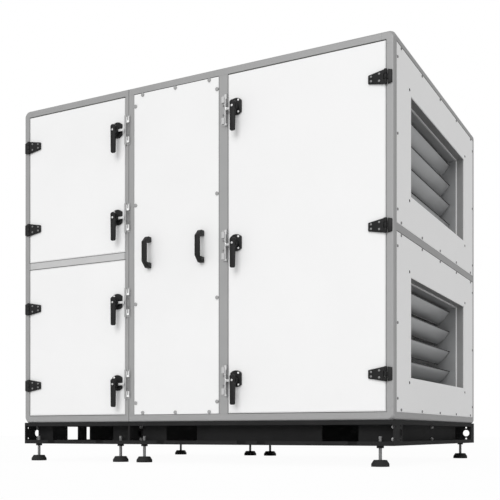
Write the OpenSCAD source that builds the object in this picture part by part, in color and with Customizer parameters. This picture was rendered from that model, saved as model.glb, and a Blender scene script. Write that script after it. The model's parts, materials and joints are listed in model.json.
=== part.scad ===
// Air handling unit in two joined modules: metal frame, flat panels, hinged doors with lever
// latches, louvre dampers in the ends, steel base rails and levelling feet.
// Millimetres, +Z up, the front faces -Y, origin on the floor under the middle of the whole box.

/* [Casing] */
// Width of both modules together
case_w = 1850; // [1700:10:2100]
// Width of the left module
left_w = 612; // [540:2:700]
// Depth of the casing, front face to back face
case_d = 1340; // [1240:10:1500]
// Height of the casing without base and feet
case_h = 1500; // [1400:10:1700]
// Depth of the frame profiles behind the face
prof_d = 50; // [50:1:60]
// Width of the frame face that shows at the outer edges
face_w = 31; // [28:1:34]
// Rounding of the upright and cross edges of the frame
edge_r = 9; // [6:1:14]
// Rounding of the edges of the frame from front to back
depth_r = 15; // [10:1:20]
// Rounding of the outer corners of the frame
corner_r = 30; // [24:1:30]
// Depth of the rebate that holds panels and doors
rebate_d = 17; // [16:1:20]
// Face of the joint post on the left module
joint_l = 18; // [16:1:24]
// Face of the joint post on the right module
joint_r = 28; // [20:1:32]
// Half width and depth of the groove at the joint of the modules
groove_w = 2; // [1:0.5:4]
// Face of the post between middle panel and right door
post_w = 42; // [36:1:50]
// Face of the middle rails
rail_w = 30; // [26:1:36]
// Hairline fit between parts of the casing
fit = 0.3; // [0.2:0.1:0.5]

/* [Panels and doors] */
// Thickness of the fixed panels
panel_t = 40; // [36:1:44]
// Thickness of the doors
door_t = 50; // [44:1:54]
// Thickness of the door flange in front of the seal
flange_t = 12; // [10:1:12]
// Gap round each door
door_gap = 6; // [6:0.5:8]
// Clearance of the door body inside the frame opening
body_clear = 5; // [5:0.5:8]
// Width of the right door
right_door_w = 686; // [600:2:720]
// Width of the seam step round each fixed panel
seam_w = 1.6; // [1:0.2:2.4]
// Depth of the seam step
seam_d = 3; // [2:0.5:5]
// Thickness of the floors between the storeys
floor_t = 30; // [20:2:40]

/* [Dampers] */
// Width of the duct openings
open_w = 898; // [800:2:1000]
// How far in front of the middle of the ends the duct openings sit
open_fore = 0; // [0:1:40]
// Height of the duct openings
open_h = 408; // [380:2:430]
// Height of the lower opening centre above the casing bottom
low_open_z = 378; // [370:1:390]
// Height of the upper opening centre below the casing top
high_open_drop = 386; // [370:1:390]
// Lip of the damper frame that shows inside the opening
damper_lip = 6; // [4:0.5:8]
// Width of the damper flange behind the panel
damper_flange = 24; // [18:1:30]
// Sheet of the damper frame
damper_t = 4; // [3:0.5:5]
// Depth of the damper frame
damper_d = 110; // [108:1:130]
// Distance of the blade axes behind the outer face
blade_in = 100; // [98:1:104]
// Distance of one blade axis from the next
blade_pitch = 99; // [94:1:102]
// Thickness of a blade in the middle
blade_t = 14; // [10:1:18]
// Thickness of the flat blade edges
blade_lip_t = 3; // [2:0.5:4]
// Clearance of the blades inside the damper frame
blade_clear = 5; // [5:0.5:8]
// Radius of the blade pins
blade_pin_r = 5; // [4:0.5:6]
// Tilt of the blades at rest, from flat
blade_tilt = 45; // [40:1:50]
// Distance of the duct bolts from the opening, along the width
bolt_out_w = 20; // [18:1:24]
// Distance of the duct bolts from the opening, along the height
bolt_out_h = 20; // [18:1:24]
// Radius of the duct bolt holes
bolt_r = 4.5; // [3:0.5:6]
// Depth of the duct bolt holes
bolt_deep = 14; // [8:1:16]

/* [Hinges and latches] */
// Height of hinges and latches from the outer door ends
fit_end = 141; // [130:1:160]
// Height of the fittings below the top of the lower left door
fit_low = 184; // [150:1:200]
// Height of the fittings above the bottom of the upper left door
fit_up = 155; // [150:1:200]
// Height of a hinge
hinge_h = 60; // [56:1:66]
// Height of the outer end of the door leaf
hinge_tip_h = 33; // [26:1:40]
// Length of the door leaf on the door
hinge_l = 70; // [60:1:80]
// Thickness of the door leaf
leaf_t = 11; // [9:0.5:12]
// Length of the frame leaf beside the pin
frame_leaf_l = 26; // [17:0.5:27]
// Thickness of the frame leaf
frame_leaf_t = 8; // [5:0.5:8]
// Distance of the hinge pin from the door edge
pin_out = 5; // [4:0.5:6]
// Distance of the hinge pin in front of the door face
pin_proud = 8; // [7.5:0.5:9]
// Radius of the hinge knuckles
knuckle_r = 7; // [6:0.5:7]
// Radius of the hinge pins
pin_r = 3; // [2.5:0.5:4]
// Height of the middle knuckle
knuckle_h = 20; // [16:1:24]
// Distance of the latch spindle from the free door edge
latch_in = 36; // [34:1:40]
// Width of a latch base
latch_w = 52; // [46:1:56]
// Height of a latch base
latch_h = 71; // [64:1:76]
// Height of the latch base middle above the spindle
latch_up = 7; // [5:1:10]
// Thickness of a latch base
latch_t = 9; // [7:0.5:10]
// Radius of the boss round the spindle
boss_r = 14; // [12:0.5:16]
// Radius of the spindle
spindle_r = 6; // [5:0.5:7]
// Width of a lever
lever_w = 20; // [16:1:24]
// Thickness of a lever
lever_t = 14; // [10:1:16]
// Distance of the back of the lever from the door
lever_off = 28; // [27:1:32]
// Reach of the lever above its spindle
lever_top = 26; // [22:1:30]
// Reach of the lever below its spindle
lever_low = 103; // [90:1:115]
// Height of the latch tongue
tongue_h = 12; // [10:1:14]
// Thickness of the latch tongue
tongue_t = 4.5; // [3:0.5:5]
// Distance of the back of the tongue from the door
tongue_off = 15.5; // [15:0.5:16]
// Reach of the tongue over the post
tongue_over = 1; // [0:1:15]
// Height of a keeper
keeper_h = 132; // [120:1:140]
// Width of a keeper
keeper_w = 26; // [24:1:28]
// Sheet of a keeper
keeper_t = 3; // [2:0.5:4]
// Height of the keeper rail in front of the post
keeper_d = 10.5; // [8:0.5:10.5]
// Width of the keeper rail beside the door
keeper_rail = 9; // [7:0.5:10]
// Width of the keeper clips
keeper_clip = 13; // [10:1:15]
// Height of a keeper clip
keeper_clip_h = 26; // [20:1:30]
// Height of the keeper clips in front of the post
keeper_clip_d = 9; // [7:0.5:10]
// Gap between the keeper clips
keeper_gap = 64; // [56:1:70]

/* [Handles] */
// Height of a bow handle
bow_h = 138; // [120:1:150]
// Reach of a bow handle in front of the panel
bow_out = 48; // [46:1:52]
// Width of a bow handle
bow_w = 22; // [18:1:26]
// Height of a bow handle foot
bow_foot = 27; // [22:1:32]
// Length of the straight grip
bow_grip = 95; // [80:1:100]
// Thickness of the grip
bow_t = 12; // [10:1:14]
// Reach of the bow feet before the shoulders
bow_shoulder = 16; // [12:1:20]
// Distance of each bow handle from the panel middle
bow_side = 136; // [120:1:150]

/* [Base] */
// Height of the base rails
base_h = 100; // [90:1:120]
// Depth of the base rails
base_d = 60; // [54:1:70]
// Sheet of the base rails
base_t = 4; // [3:0.5:5]
// Height of the rail lips
base_lip = 17; // [14:1:20]
// Height of the openings in the rail webs
pocket_h = 66; // [60:1:66]
// Width of the fork pockets in the right module
fork_w = 158; // [140:1:180]
// Distance of the fork pockets from the module ends
fork_in = 165; // [150:1:180]
// Distance of the left web opening from the module ends
wide_in = 127; // [115:1:150]
// Width of the web openings at the rail ends
end_open = 36; // [30:1:40]
// Length of the web opening at the back ends of the side rails
side_open = 108; // [90:1:120]
// Distance of the first window in the left side rail from the front
window_1 = 246; // [240:1:262]
// Length of the first window in the left side rail
window_1_l = 84; // [70:1:100]
// Distance of the second window in the left side rail from the front
window_2 = 399; // [380:1:410]
// Length of the second window in the left side rail
window_2_l = 29; // [24:1:80]
// Length of the corner plates
plate_l = 108; // [104:1:115]
// Distance of the lifting hole in a plate from the front
lift_in = 85; // [83:1:88]
// Distance of the lifting hole in a back rail from its end
lift_back = 27; // [24:1:42]
// Radius of the lifting holes
lift_r = 16.5; // [14:0.5:17]
// Radius of the small plate holes
small_r = 4.5; // [3:0.5:5]
// Distance of the small plate holes from the lifting hole
small_out = 28; // [25:1:32]
// Distance of the front pair of plate holes from the front
pair_in = 22; // [18:1:26]
// Distance of the front pair of plate holes from the middle of the plate
pair_out = 25; // [20:1:28]
// Width of the slots in the lower lip
slot_w = 38; // [30:1:44]
// Distance of the slots of the left module from its middle
slot_left = 141; // [120:1:160]
// Distance of the near slots of the right module from its middle
slot_near = 46; // [40:1:60]
// Distance of the far slots of the right module from its middle
slot_far = 449; // [420:1:470]

/* [Feet] */
// Height of the feet under the base
foot_h = 81; // [70:1:110]
// Distance of the feet from the module ends
foot_end = 65; // [60:1:75]
// Distance of the feet from front and back
foot_in = 28; // [26:1:32]
// Radius of a foot pad at the floor
pad_r = 35.5; // [30:0.5:40]
// Radius of a foot pad at its top
pad_top_r = 26; // [22:0.5:29]
// Height of a foot pad
pad_h = 26; // [22:1:30]
// Height of the straight rim of a foot pad
pad_rim = 11; // [6:0.5:14]
// Radius of a foot stud
stud_r = 7; // [6:0.5:10]
// Reach of the stud into the base rail
stud_up = 38; // [30:1:50]
// Height of the nut under the base
nut_h = 10; // [8:1:14]
// Radius over the corners of the nut
nut_r = 15; // [13:0.5:17]

/* [Hidden] */
$fa = 4;
$fs = 0.5;
// Extra length of cutting bodies
cut = 2;
// Running clearance at pins
run = 0.06;
// Clear space beside knuckles
knuckle_clear = 1;
// How much lower the end fittings of the left doors sit
fit_left = 1;
// Clear space at the ends of the blades beside the blade gap
blade_end = 1;
// Share of the blade chord that the lens takes
lens_share = 0.84;
// How much lower the middle of the base pockets sits
pocket_low = 1;
// How far the blade pins go through the frame
pin_through = 2;
// How deep the latch spindle starts in its base
spindle_in = 2;
// Step from the latch boss to the hub of the tongue
hub_step = 2;
// Overlap of the door leaf and its knuckles
leaf_lap = 1;
// Share of the grip thickness that the inside of the bow is shorter
bow_share = 0.8;
// Clear space behind the doors at the middle floors
floor_clear = 1;
// Radius of the corner ball for each millimetre of corner rounding
ball_share = 1.3;
front_reach = max(bow_out, lever_off + lever_t);
back_reach = max(0, pad_r - foot_in);
front_y = front_reach - (case_d + front_reach + back_reach) / 2;
casing_z = base_h + foot_h;
lip = prof_d - face_w;
// Depth of the bars that lie on the lips of others
bar_d = rebate_d - fit;
// Radius of the ball that shapes the outer corners
ball_r = corner_r * ball_share;
mid_z = case_h / 2;
right_w = case_w - left_w;
high_open_z = case_h - high_open_drop;
// Sides of the faces that panels and doors lie between
left_x0 = face_w;
left_x1 = left_w - joint_l;
panel_x0 = left_w + joint_r;
right_x1 = case_w - face_w;
right_x0 = right_x1 - right_door_w - 2 * door_gap;
panel_x1 = right_x0 - post_w;
low_z0 = face_w;
low_z1 = mid_z - rail_w / 2;
up_z0 = mid_z + rail_w / 2;
up_z1 = case_h - face_w;
side_y0 = face_w;
side_y1 = case_d - face_w;
// Heights of the fittings, from the low end up
left_low_z = [low_z0 + door_gap + fit_end - fit_left, low_z1 - door_gap - fit_low];
left_up_z = [up_z0 + door_gap + fit_up, up_z1 - door_gap - fit_end - fit_left];
right_z = [low_z0 + door_gap + fit_end, mid_z, up_z1 - door_gap - fit_end];
left_pin_x = left_x0 + door_gap - pin_out;
right_pin_x = right_x1 - door_gap + pin_out;
left_latch_x = left_x1 - door_gap - latch_in;
right_latch_x = right_x0 + door_gap + latch_in;
clear_w = open_w - 2 * damper_lip;
open_y = case_d / 2 - open_fore;
clear_h = open_h - 2 * damper_lip;
blade_l = clear_w - 2 * (blade_clear + blade_end);
blade_chord = clear_h - 3 * blade_pitch - 2 * blade_clear;
lens_chord = blade_chord * lens_share;
lens_n = 6;
blade_offs = [-1.5 * blade_pitch, -0.5 * blade_pitch, 0.5 * blade_pitch, 1.5 * blade_pitch];
pocket_z = base_h / 2 + pocket_low;
silver = [0.69, 0.69, 0.70];
white = [0.95, 0.95, 0.95];
black = [0.11, 0.11, 0.12];
zinc = [0.74, 0.75, 0.76];
sheet = [0.62, 0.63, 0.64];

// Places children given from the left front bottom corner of the casing
module casing() {
  translate([-case_w / 2, front_y, casing_z]) children();
}

module mirror_x() {
  translate([case_w, 0, 0]) mirror([1, 0, 0]) children();
}

module mirror_y() {
  translate([0, case_d, 0]) mirror([0, 1, 0]) children();
}

module mirror_z() {
  translate([0, 0, case_h]) mirror([0, 0, 1]) children();
}

module front_back() {
  children();
  mirror_y() children();
}

module top_bottom() {
  children();
  mirror_z() children();
}

// Box between two corners
module box(p, q) {
  translate(p) cube(q - p);
}

// Panels are drawn flat with the outer face at z = 0 and turned into place
module on_front(x, z) {
  translate([x, 0, z]) rotate([90, 0, 0]) children();
}

module on_right(y, z) {
  translate([case_w, y, z]) rotate([90, 0, 90]) children();
}

module on_top(x, y) {
  translate([x, y, case_h]) children();
}

// Square with one rounded corner, the outside of the frame
module round_section(r) {
  translate([r, 0]) square([prof_d - r, prof_d]);
  translate([0, r]) square([prof_d, prof_d - r]);
  intersection() {
    square(prof_d);
    translate([r, r]) circle(r);
  }
}

module corner_section(r) {
  difference() {
    round_section(r);
    translate([face_w, -cut]) square([prof_d, rebate_d + cut]);
    translate([-cut, face_w]) square([rebate_d + cut, prof_d]);
  }
}

module rail_x(l) {
  rotate([90, 0, 90]) linear_extrude(l) corner_section(edge_r);
}

module rail_y(l) {
  translate([0, l, 0]) rotate([90, 0, 0]) linear_extrude(l) corner_section(depth_r);
}

// What the ball shape takes off an outer corner
module corner_trim() {
  difference() {
    translate([-cut, -cut, -cut]) cube(corner_r + cut);
    translate([corner_r, corner_r, corner_r]) sphere(r = ball_r);
  }
}

module corner_piece() {
  difference() {
    intersection() {
      linear_extrude(prof_d) round_section(edge_r);
      rotate([90, 0, 90]) linear_extrude(prof_d) round_section(edge_r);
      translate([0, prof_d, 0]) rotate([90, 0, 0]) linear_extrude(prof_d) round_section(depth_r);
    }
    translate([face_w, -cut, face_w]) cube([prof_d, rebate_d + cut, prof_d]);
    translate([-cut, face_w, face_w]) cube([rebate_d + cut, prof_d, prof_d]);
    translate([face_w, face_w, -cut]) cube([prof_d, prof_d, rebate_d + cut]);
    corner_trim();
  }
}

// Posts, corners and rails round one end of the casing
module end_frame() {
  front_back() translate([0, 0, prof_d + fit])
    linear_extrude(case_h - 2 * (prof_d + fit)) corner_section(edge_r);
  front_back() top_bottom() corner_piece();
  top_bottom() translate([0, prof_d + fit, 0]) rail_y(case_d - 2 * (prof_d + fit));
  box([0, side_y0 + fit, low_z1], [bar_d, side_y1 - fit, up_z0]);
  box([bar_d, prof_d + fit, low_z1 - lip], [prof_d, case_d - prof_d - fit, up_z0 + lip]);
}

// Post of the joint between the modules, the part from x0 to x1 shows, the lip reaches to xi
module joint_post(x0, x1, xi) {
  box([min(x0, x1), 0, face_w + fit], [max(x0, x1), bar_d, case_h - face_w - fit]);
  box([min(x0, xi), bar_d, prof_d + fit], [max(x0, xi), prof_d, case_h - prof_d - fit]);
}

module joint_rail(x0, x1, xi) {
  box([min(x0, x1), side_y0 + fit, 0], [max(x0, x1), side_y1 - fit, bar_d]);
  box([min(x0, xi), prof_d + fit, bar_d], [max(x0, xi), case_d - prof_d - fit, prof_d]);
}

// Middle rail in the front plane between two posts, lip ends from the face ends
module mid_rail(x0, x1) {
  box([x0 + fit, 0, low_z1], [x1 - fit, bar_d - fit, up_z0]);
  box([x0 + lip + fit, bar_d - fit, low_z1], [x1 - lip - fit, bar_d, up_z0]);
  box([x0 + lip + fit, bar_d, low_z1 - lip], [x1 - lip - fit, prof_d, up_z0 + lip]);
}

module mid_post(x0, x1) {
  box([x0, 0, face_w + fit], [x1, bar_d, case_h - face_w - fit]);
  box([x0 - lip, bar_d, prof_d + fit], [x1 + lip, prof_d, case_h - prof_d - fit]);
}

// Groove round the casing along the joint of the modules
module joint_groove() {
  difference() {
    box([left_w - groove_w, -cut, -cut], [left_w + groove_w, case_d + cut, case_h + cut]);
    box([left_w - groove_w - cut, groove_w, groove_w],
      [left_w + groove_w + cut, case_d - groove_w, case_h - groove_w]);
  }
}

module left_frame() {
  color(silver) casing() {
    end_frame();
    difference() {
      union() {
        front_back() top_bottom() translate([prof_d + fit, 0, 0]) rail_x(left_w - prof_d - 2 * fit);
        front_back() joint_post(left_w - fit, left_x1, left_x1 - lip);
        top_bottom() joint_rail(left_w - fit, left_x1, left_x1 - lip);
      }
      joint_groove();
    }
    front_back() mid_rail(left_x0, left_x1);
  }
}

module right_frame() {
  color(silver) casing() {
    mirror_x() end_frame();
    difference() {
      union() {
        front_back() top_bottom() translate([left_w + fit, 0, 0]) rail_x(right_w - prof_d - 2 * fit);
        front_back() joint_post(left_w + fit, panel_x0, panel_x0 + lip);
        top_bottom() joint_rail(left_w + fit, panel_x0, panel_x0 + lip);
      }
      joint_groove();
    }
    front_back() mid_post(panel_x1, right_x0);
    mirror_y() mid_rail(panel_x0, panel_x1);
    mirror_y() mid_rail(right_x0, right_x1);
  }
}

// Fixed panel for a face opening of w by h: seam step, flange on the rebate, body behind it
module fixed_panel(w, h) {
  box([fit + seam_w, fit + seam_w, -seam_d], [w - fit - seam_w, h - fit - seam_w, 0]);
  box([fit, fit, fit - rebate_d], [w - fit, h - fit, -seam_d]);
  box([lip + fit, lip + fit, -panel_t], [w - lip - fit, h - lip - fit, fit - rebate_d]);
}

module duct_cuts(w, h, cy) {
  translate([w / 2 - open_fore - open_w / 2, cy - open_h / 2, -panel_t - cut])
    cube([open_w, open_h, panel_t + 2 * cut]);
  for (sx = [-1, 1]) {
    for (sy = [-1, 1]) {
      translate([w / 2 - open_fore + sx * (open_w / 2 + bolt_out_w),
        cy + sy * (open_h / 2 + bolt_out_h), -bolt_deep])
        cylinder(r = bolt_r, h = bolt_deep + cut);
    }
  }
}

module end_panel_low() {
  on_right(side_y0, low_z0) difference() {
    fixed_panel(side_y1 - side_y0, low_z1 - low_z0);
    duct_cuts(side_y1 - side_y0, low_z1 - low_z0, low_open_z - low_z0);
  }
}

module end_panel_high() {
  on_right(side_y0, up_z0) difference() {
    fixed_panel(side_y1 - side_y0, up_z1 - up_z0);
    duct_cuts(side_y1 - side_y0, up_z1 - up_z0, high_open_z - up_z0);
  }
}

module roof_panels() {
  color(white) casing() {
    on_top(left_x0, side_y0) fixed_panel(left_x1 - left_x0, side_y1 - side_y0);
    on_top(panel_x0, side_y0) fixed_panel(right_x1 - panel_x0, side_y1 - side_y0);
  }
}

module floor_panels() {
  color(white) casing() mirror_z() {
    on_top(left_x0, side_y0) fixed_panel(left_x1 - left_x0, side_y1 - side_y0);
    on_top(panel_x0, side_y0) fixed_panel(right_x1 - panel_x0, side_y1 - side_y0);
  }
}

module left_end_panels() {
  color(white) casing() mirror_x() {
    end_panel_low();
    end_panel_high();
  }
}

module back_panels() {
  color(white) casing() mirror_y() {
    for (span = [[left_x0, left_x1], [panel_x0, panel_x1], [right_x0, right_x1]]) {
      on_front(span[0], low_z0) fixed_panel(span[1] - span[0], low_z1 - low_z0);
      on_front(span[0], up_z0) fixed_panel(span[1] - span[0], up_z1 - up_z0);
    }
  }
}

module middle_front_panel() {
  color(white) casing() on_front(panel_x0, low_z0) fixed_panel(panel_x1 - panel_x0, up_z1 - low_z0);
}

module right_upper_end_panel() {
  color(white) casing() end_panel_high();
}

module right_lower_end_panel() {
  color(white) casing() end_panel_low();
}

// Floors between the storeys, one in each module, clear of the doors
module mid_floors() {
  color(sheet) casing() {
    box([prof_d + fit, prof_d + fit, mid_z - floor_t / 2],
      [left_w - fit, case_d - prof_d - fit, mid_z + floor_t / 2]);
    box([left_w + fit, door_t + body_clear + floor_clear, mid_z - floor_t / 2],
      [case_w - prof_d - fit, case_d - prof_d - fit, mid_z + floor_t / 2]);
  }
}

// Damper frame on the right end, behind the panel
module damper_frame(cz) {
  translate([case_w - panel_t, open_y, cz]) difference() {
    union() {
      translate([-damper_t, -open_w / 2 - damper_flange, -open_h / 2 - damper_flange])
        cube([damper_t, open_w + 2 * damper_flange, open_h + 2 * damper_flange]);
      translate([-damper_d, -clear_w / 2 - damper_t, -clear_h / 2 - damper_t])
        cube([damper_d, clear_w + 2 * damper_t, clear_h + 2 * damper_t]);
    }
    translate([-damper_d - cut, -clear_w / 2, -clear_h / 2]) cube([damper_d + 2 * cut, clear_w, clear_h]);
    for (off = blade_offs) {
      translate([panel_t - blade_in, 0, off]) rotate([90, 0, 0])
        cylinder(r = blade_pin_r + run, h = open_w + 2 * damper_flange, center = true);
    }
  }
}

// Lens with flat edges, drawn from both ends of its chord
module blade_section() {
  over = [for (i = [-lens_n:lens_n]) [i / lens_n * lens_chord / 2, blade_t / 2 * (1 - pow(i / lens_n, 2))]];
  under = [for (p = over) if (p[1] > 0) [-p[0], -p[1]]];
  polygon(concat(over, under));
  square([blade_chord, blade_lip_t], center = true);
}

// One blade of the right end with its pins, outer edge up
module blade(cz, off) {
  translate([case_w - blade_in, open_y, cz + off]) {
    rotate([90, 0, 0]) linear_extrude(blade_l, center = true) rotate(blade_tilt) blade_section();
    rotate([90, 0, 0]) cylinder(r = blade_pin_r, h = clear_w + 2 * (damper_t + pin_through), center = true);
  }
}

module upper_damper_frame() {
  color(sheet) casing() damper_frame(high_open_z);
}

module lower_damper_frame() {
  color(sheet) casing() damper_frame(low_open_z);
}

module left_damper_frames() {
  color(sheet) casing() mirror_x() {
    damper_frame(high_open_z);
    damper_frame(low_open_z);
  }
}

module left_damper_blades() {
  color(zinc) casing() mirror_x() {
    for (off = blade_offs) {
      blade(high_open_z, off);
      blade(low_open_z, off);
    }
  }
}

module upper_blade_1() {
  color(zinc) casing() blade(high_open_z, blade_offs[0]);
}

module upper_blade_2() {
  color(zinc) casing() blade(high_open_z, blade_offs[1]);
}

module upper_blade_3() {
  color(zinc) casing() blade(high_open_z, blade_offs[2]);
}

module upper_blade_4() {
  color(zinc) casing() blade(high_open_z, blade_offs[3]);
}

module lower_blade_1() {
  color(zinc) casing() blade(low_open_z, blade_offs[0]);
}

module lower_blade_2() {
  color(zinc) casing() blade(low_open_z, blade_offs[1]);
}

module lower_blade_3() {
  color(zinc) casing() blade(low_open_z, blade_offs[2]);
}

module lower_blade_4() {
  color(zinc) casing() blade(low_open_z, blade_offs[3]);
}

// Rail section, open to the outside, u from the outer face, v from the rail top down
module base_section() {
  polygon([[0, 0], [base_d, 0], [base_d, -base_h], [0, -base_h], [0, base_lip - base_h],
    [base_t, base_lip - base_h], [base_t, base_t - base_h], [base_d - base_t, base_t - base_h],
    [base_d - base_t, -base_t], [base_t, -base_t], [base_t, -base_lip], [0, -base_lip]]);
}

// Opening in a web of a long rail from x0 to x1
module web_cut(x0, x1) {
  translate([x0, base_d - base_t - cut, -pocket_z - pocket_h / 2])
    cube([x1 - x0, base_t + 2 * cut, pocket_h]);
}

module lip_slot(x) {
  translate([x - slot_w / 2, -cut, base_t - base_h]) cube([slot_w, base_t + 2 * cut, base_lip]);
}

module stud_hole(x) {
  translate([x, foot_in, -base_h - cut]) cylinder(r = stud_r + fit, h = base_t + 2 * cut);
}

// Web openings of the left module
module left_cuts() {
  web_cut(wide_in, left_w - wide_in);
  lip_slot(left_w / 2 - slot_left);
  lip_slot(left_w / 2 + slot_left);
}

// Web openings of the right module
module right_cuts() {
  web_cut(fork_in, fork_in + fork_w);
  web_cut(right_w - fork_in - fork_w, right_w - fork_in);
  for (dx = [-slot_far, -slot_near, slot_near, slot_far]) {
    lip_slot(right_w / 2 + dx);
  }
}

// Front rail of a module of width w between its corner plates
module front_rail(w, right_open) {
  difference() {
    translate([base_t + 2 * fit, 0, 0]) rotate([90, 0, 90])
      linear_extrude(w - 2 * base_t - 4 * fit) base_section();
    web_cut(0, end_open);
    web_cut(w - right_open, w);
    stud_hole(foot_end);
    stud_hole(w - foot_end);
    children();
  }
}

// Back rail of a module with lifting holes at its ends
module back_rail(w) {
  mirror_y() difference() {
    translate([base_t + 2 * fit, 0, 0]) rotate([90, 0, 90])
      linear_extrude(w - 2 * base_t - 4 * fit) base_section();
    stud_hole(foot_end);
    stud_hole(w - foot_end);
    for (x = [lift_back, w - lift_back]) {
      translate([x, base_d + cut, -base_h / 2]) rotate([90, 0, 0])
        cylinder(r = lift_r, h = base_t + 2 * cut);
      for (dz = [-small_out, small_out]) {
        translate([x, base_d + cut, -base_h / 2 + dz]) rotate([90, 0, 0])
          cylinder(r = small_r, h = base_t + 2 * cut);
      }
    }
    children();
  }
}

// Window in the web of a side rail
module side_window(y, l) {
  translate([base_d - base_t - cut, y, -pocket_z - pocket_h / 2]) cube([base_t + 2 * cut, l, pocket_h]);
}

// Side rail at the left end of a module
module side_rail() {
  l = case_d - base_d - plate_l - 2 * fit;
  difference() {
    translate([fit, plate_l + fit + l, 0]) rotate([90, 0, 0]) linear_extrude(l) base_section();
    side_window(case_d - base_d - side_open, side_open + cut);
    children();
  }
}

module left_base_frame() {
  color(black) casing() {
    front_rail(left_w, end_open) left_cuts();
    back_rail(left_w) left_cuts();
    side_rail() {
      side_window(window_1, window_1_l);
      side_window(window_2, window_2_l);
    }
    translate([left_w, 0, 0]) mirror([1, 0, 0]) side_rail();
  }
}

module right_base_frame() {
  color(black) casing() translate([left_w, 0, 0]) {
    front_rail(right_w, base_t) right_cuts();
    back_rail(right_w) right_cuts();
    side_rail();
    translate([right_w, 0, 0]) mirror([1, 0, 0]) side_rail();
  }
}

// Plate at the front end of a module with a lifting hole
module corner_plate() {
  difference() {
    translate([fit, 0, -base_h]) cube([base_t, plate_l, base_h]);
    translate([-cut, lift_in, -base_h / 2]) rotate([0, 90, 0]) cylinder(r = lift_r, h = base_t + 2 * cut);
    for (dz = [-small_out, small_out]) {
      translate([-cut, lift_in, -base_h / 2 + dz]) rotate([0, 90, 0])
        cylinder(r = small_r, h = base_t + 2 * cut);
    }
    for (dz = [-pair_out, pair_out]) {
      translate([-cut, pair_in, -base_h / 2 + dz]) rotate([0, 90, 0])
        cylinder(r = small_r, h = base_t + 2 * cut);
    }
  }
}

// Plate that closes the end of a back rail
module end_plate() {
  translate([fit, case_d - base_d, -base_h]) cube([base_t, base_d, base_h]);
}

module base_corner_plates() {
  color(black) casing() for (x = [0, left_w]) {
    translate([x, 0, 0]) {
      corner_plate();
      end_plate();
    }
  }
  color(black) casing() for (x = [left_w, case_w]) {
    translate([x, 0, 0]) mirror([1, 0, 0]) {
      corner_plate();
      end_plate();
    }
  }
}

// Places of the feet
module at_feet() {
  for (x = [foot_end, left_w - foot_end, left_w + foot_end, case_w - foot_end]) {
    for (y = [foot_in, case_d - foot_in]) {
      translate([x - case_w / 2, front_y + y, 0]) children();
    }
  }
}

module foot_pads() {
  color(black) at_feet() rotate_extrude()
    polygon([[0, 0], [pad_r, 0], [pad_r, pad_rim], [pad_top_r, pad_h], [0, pad_h]]);
}

module foot_studs() {
  color(zinc) at_feet() {
    translate([0, 0, pad_h]) cylinder(r = stud_r, h = foot_h - pad_h + stud_up);
    translate([0, 0, foot_h - nut_h]) cylinder(r = nut_r, h = nut_h, $fn = 6);
  }
}

// Frame leaf of a left hinge with pin, from the pin axis at the door face
module frame_leaf() {
  box([-frame_leaf_l, -frame_leaf_t, -hinge_h / 2], [-knuckle_r - knuckle_clear, 0, hinge_h / 2]);
  box([-frame_leaf_l, -pin_proud, -knuckle_h / 2], [0, 0, knuckle_h / 2]);
  translate([0, -pin_proud, -knuckle_h / 2]) cylinder(r = knuckle_r, h = knuckle_h);
  translate([0, -pin_proud, -hinge_h / 2]) cylinder(r = pin_r, h = hinge_h);
}

// Door leaf of a left hinge
module door_leaf() {
  gap_h = knuckle_h / 2 + knuckle_clear / 2;
  x0 = pin_out;
  difference() {
    union() {
      rotate([90, 0, 0]) linear_extrude(leaf_t) polygon([[x0, -hinge_h / 2],
        [x0 + hinge_l, -hinge_tip_h / 2], [x0 + hinge_l, hinge_tip_h / 2], [x0, hinge_h / 2]]);
      for (s = [0, 1]) {
        mirror([0, 0, s]) {
          translate([0, -pin_proud, gap_h]) cylinder(r = knuckle_r, h = hinge_h / 2 - gap_h);
          box([0, -leaf_t, gap_h],
            [x0 + leaf_lap, knuckle_r - pin_proud - leaf_lap, hinge_h / 2]);
        }
      }
    }
    translate([0, -pin_proud, -hinge_h]) cylinder(r = pin_r + run, h = 2 * hinge_h);
    box([-knuckle_r, -pin_proud - knuckle_r - cut, -gap_h], [knuckle_r + knuckle_clear, cut, gap_h]);
  }
}

// Latch base from the spindle axis at the door face, free edge of the door toward +x
module latch_base() {
  difference() {
    union() {
      translate([0, 0, latch_up]) rotate([90, 0, 0]) linear_extrude(latch_t) intersection() {
        circle(latch_h / 2);
        square([latch_w, latch_h], center = true);
      }
      rotate([90, 0, 0]) cylinder(r = boss_r, h = tongue_off - knuckle_clear);
    }
    translate([0, -spindle_in, 0]) rotate([90, 0, 0]) cylinder(r = spindle_r + run, h = lever_off);
  }
}

// Lever with spindle and tongue
module latch_lever() {
  translate([0, -spindle_in - fit, 0]) rotate([90, 0, 0]) cylinder(r = spindle_r, h = lever_off);
  translate([0, -tongue_off, 0]) rotate([90, 0, 0]) {
    cylinder(r = boss_r - hub_step, h = tongue_t);
    translate([0, -tongue_h / 2, 0]) cube([latch_in + door_gap + tongue_over, tongue_h, tongue_t]);
  }
  translate([0, -lever_off, 0]) rotate([90, 0, 0]) linear_extrude(lever_t) {
    translate([-lever_w / 2, lever_w / 2 - lever_low]) square([lever_w, lever_low + lever_top - lever_w]);
    translate([0, lever_w / 2 - lever_low]) circle(lever_w / 2);
    translate([0, lever_top - lever_w / 2]) circle(lever_w / 2);
  }
}

// Keeper from the edge of the post at spindle height, the post toward +x
module keeper() {
  box([0, -keeper_t, -keeper_h / 2], [keeper_w, 0, keeper_h / 2]);
  box([0, -keeper_d, -keeper_h / 2], [keeper_rail, -keeper_t, keeper_h / 2]);
  for (s = [0, 1]) {
    mirror([0, 0, s]) box([keeper_w - keeper_clip, -keeper_clip_d, keeper_gap / 2],
      [keeper_w, -keeper_t, keeper_gap / 2 + keeper_clip_h]);
  }
}

module at_left_pin(z) {
  translate([left_pin_x, 0, z]) children();
}

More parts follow.
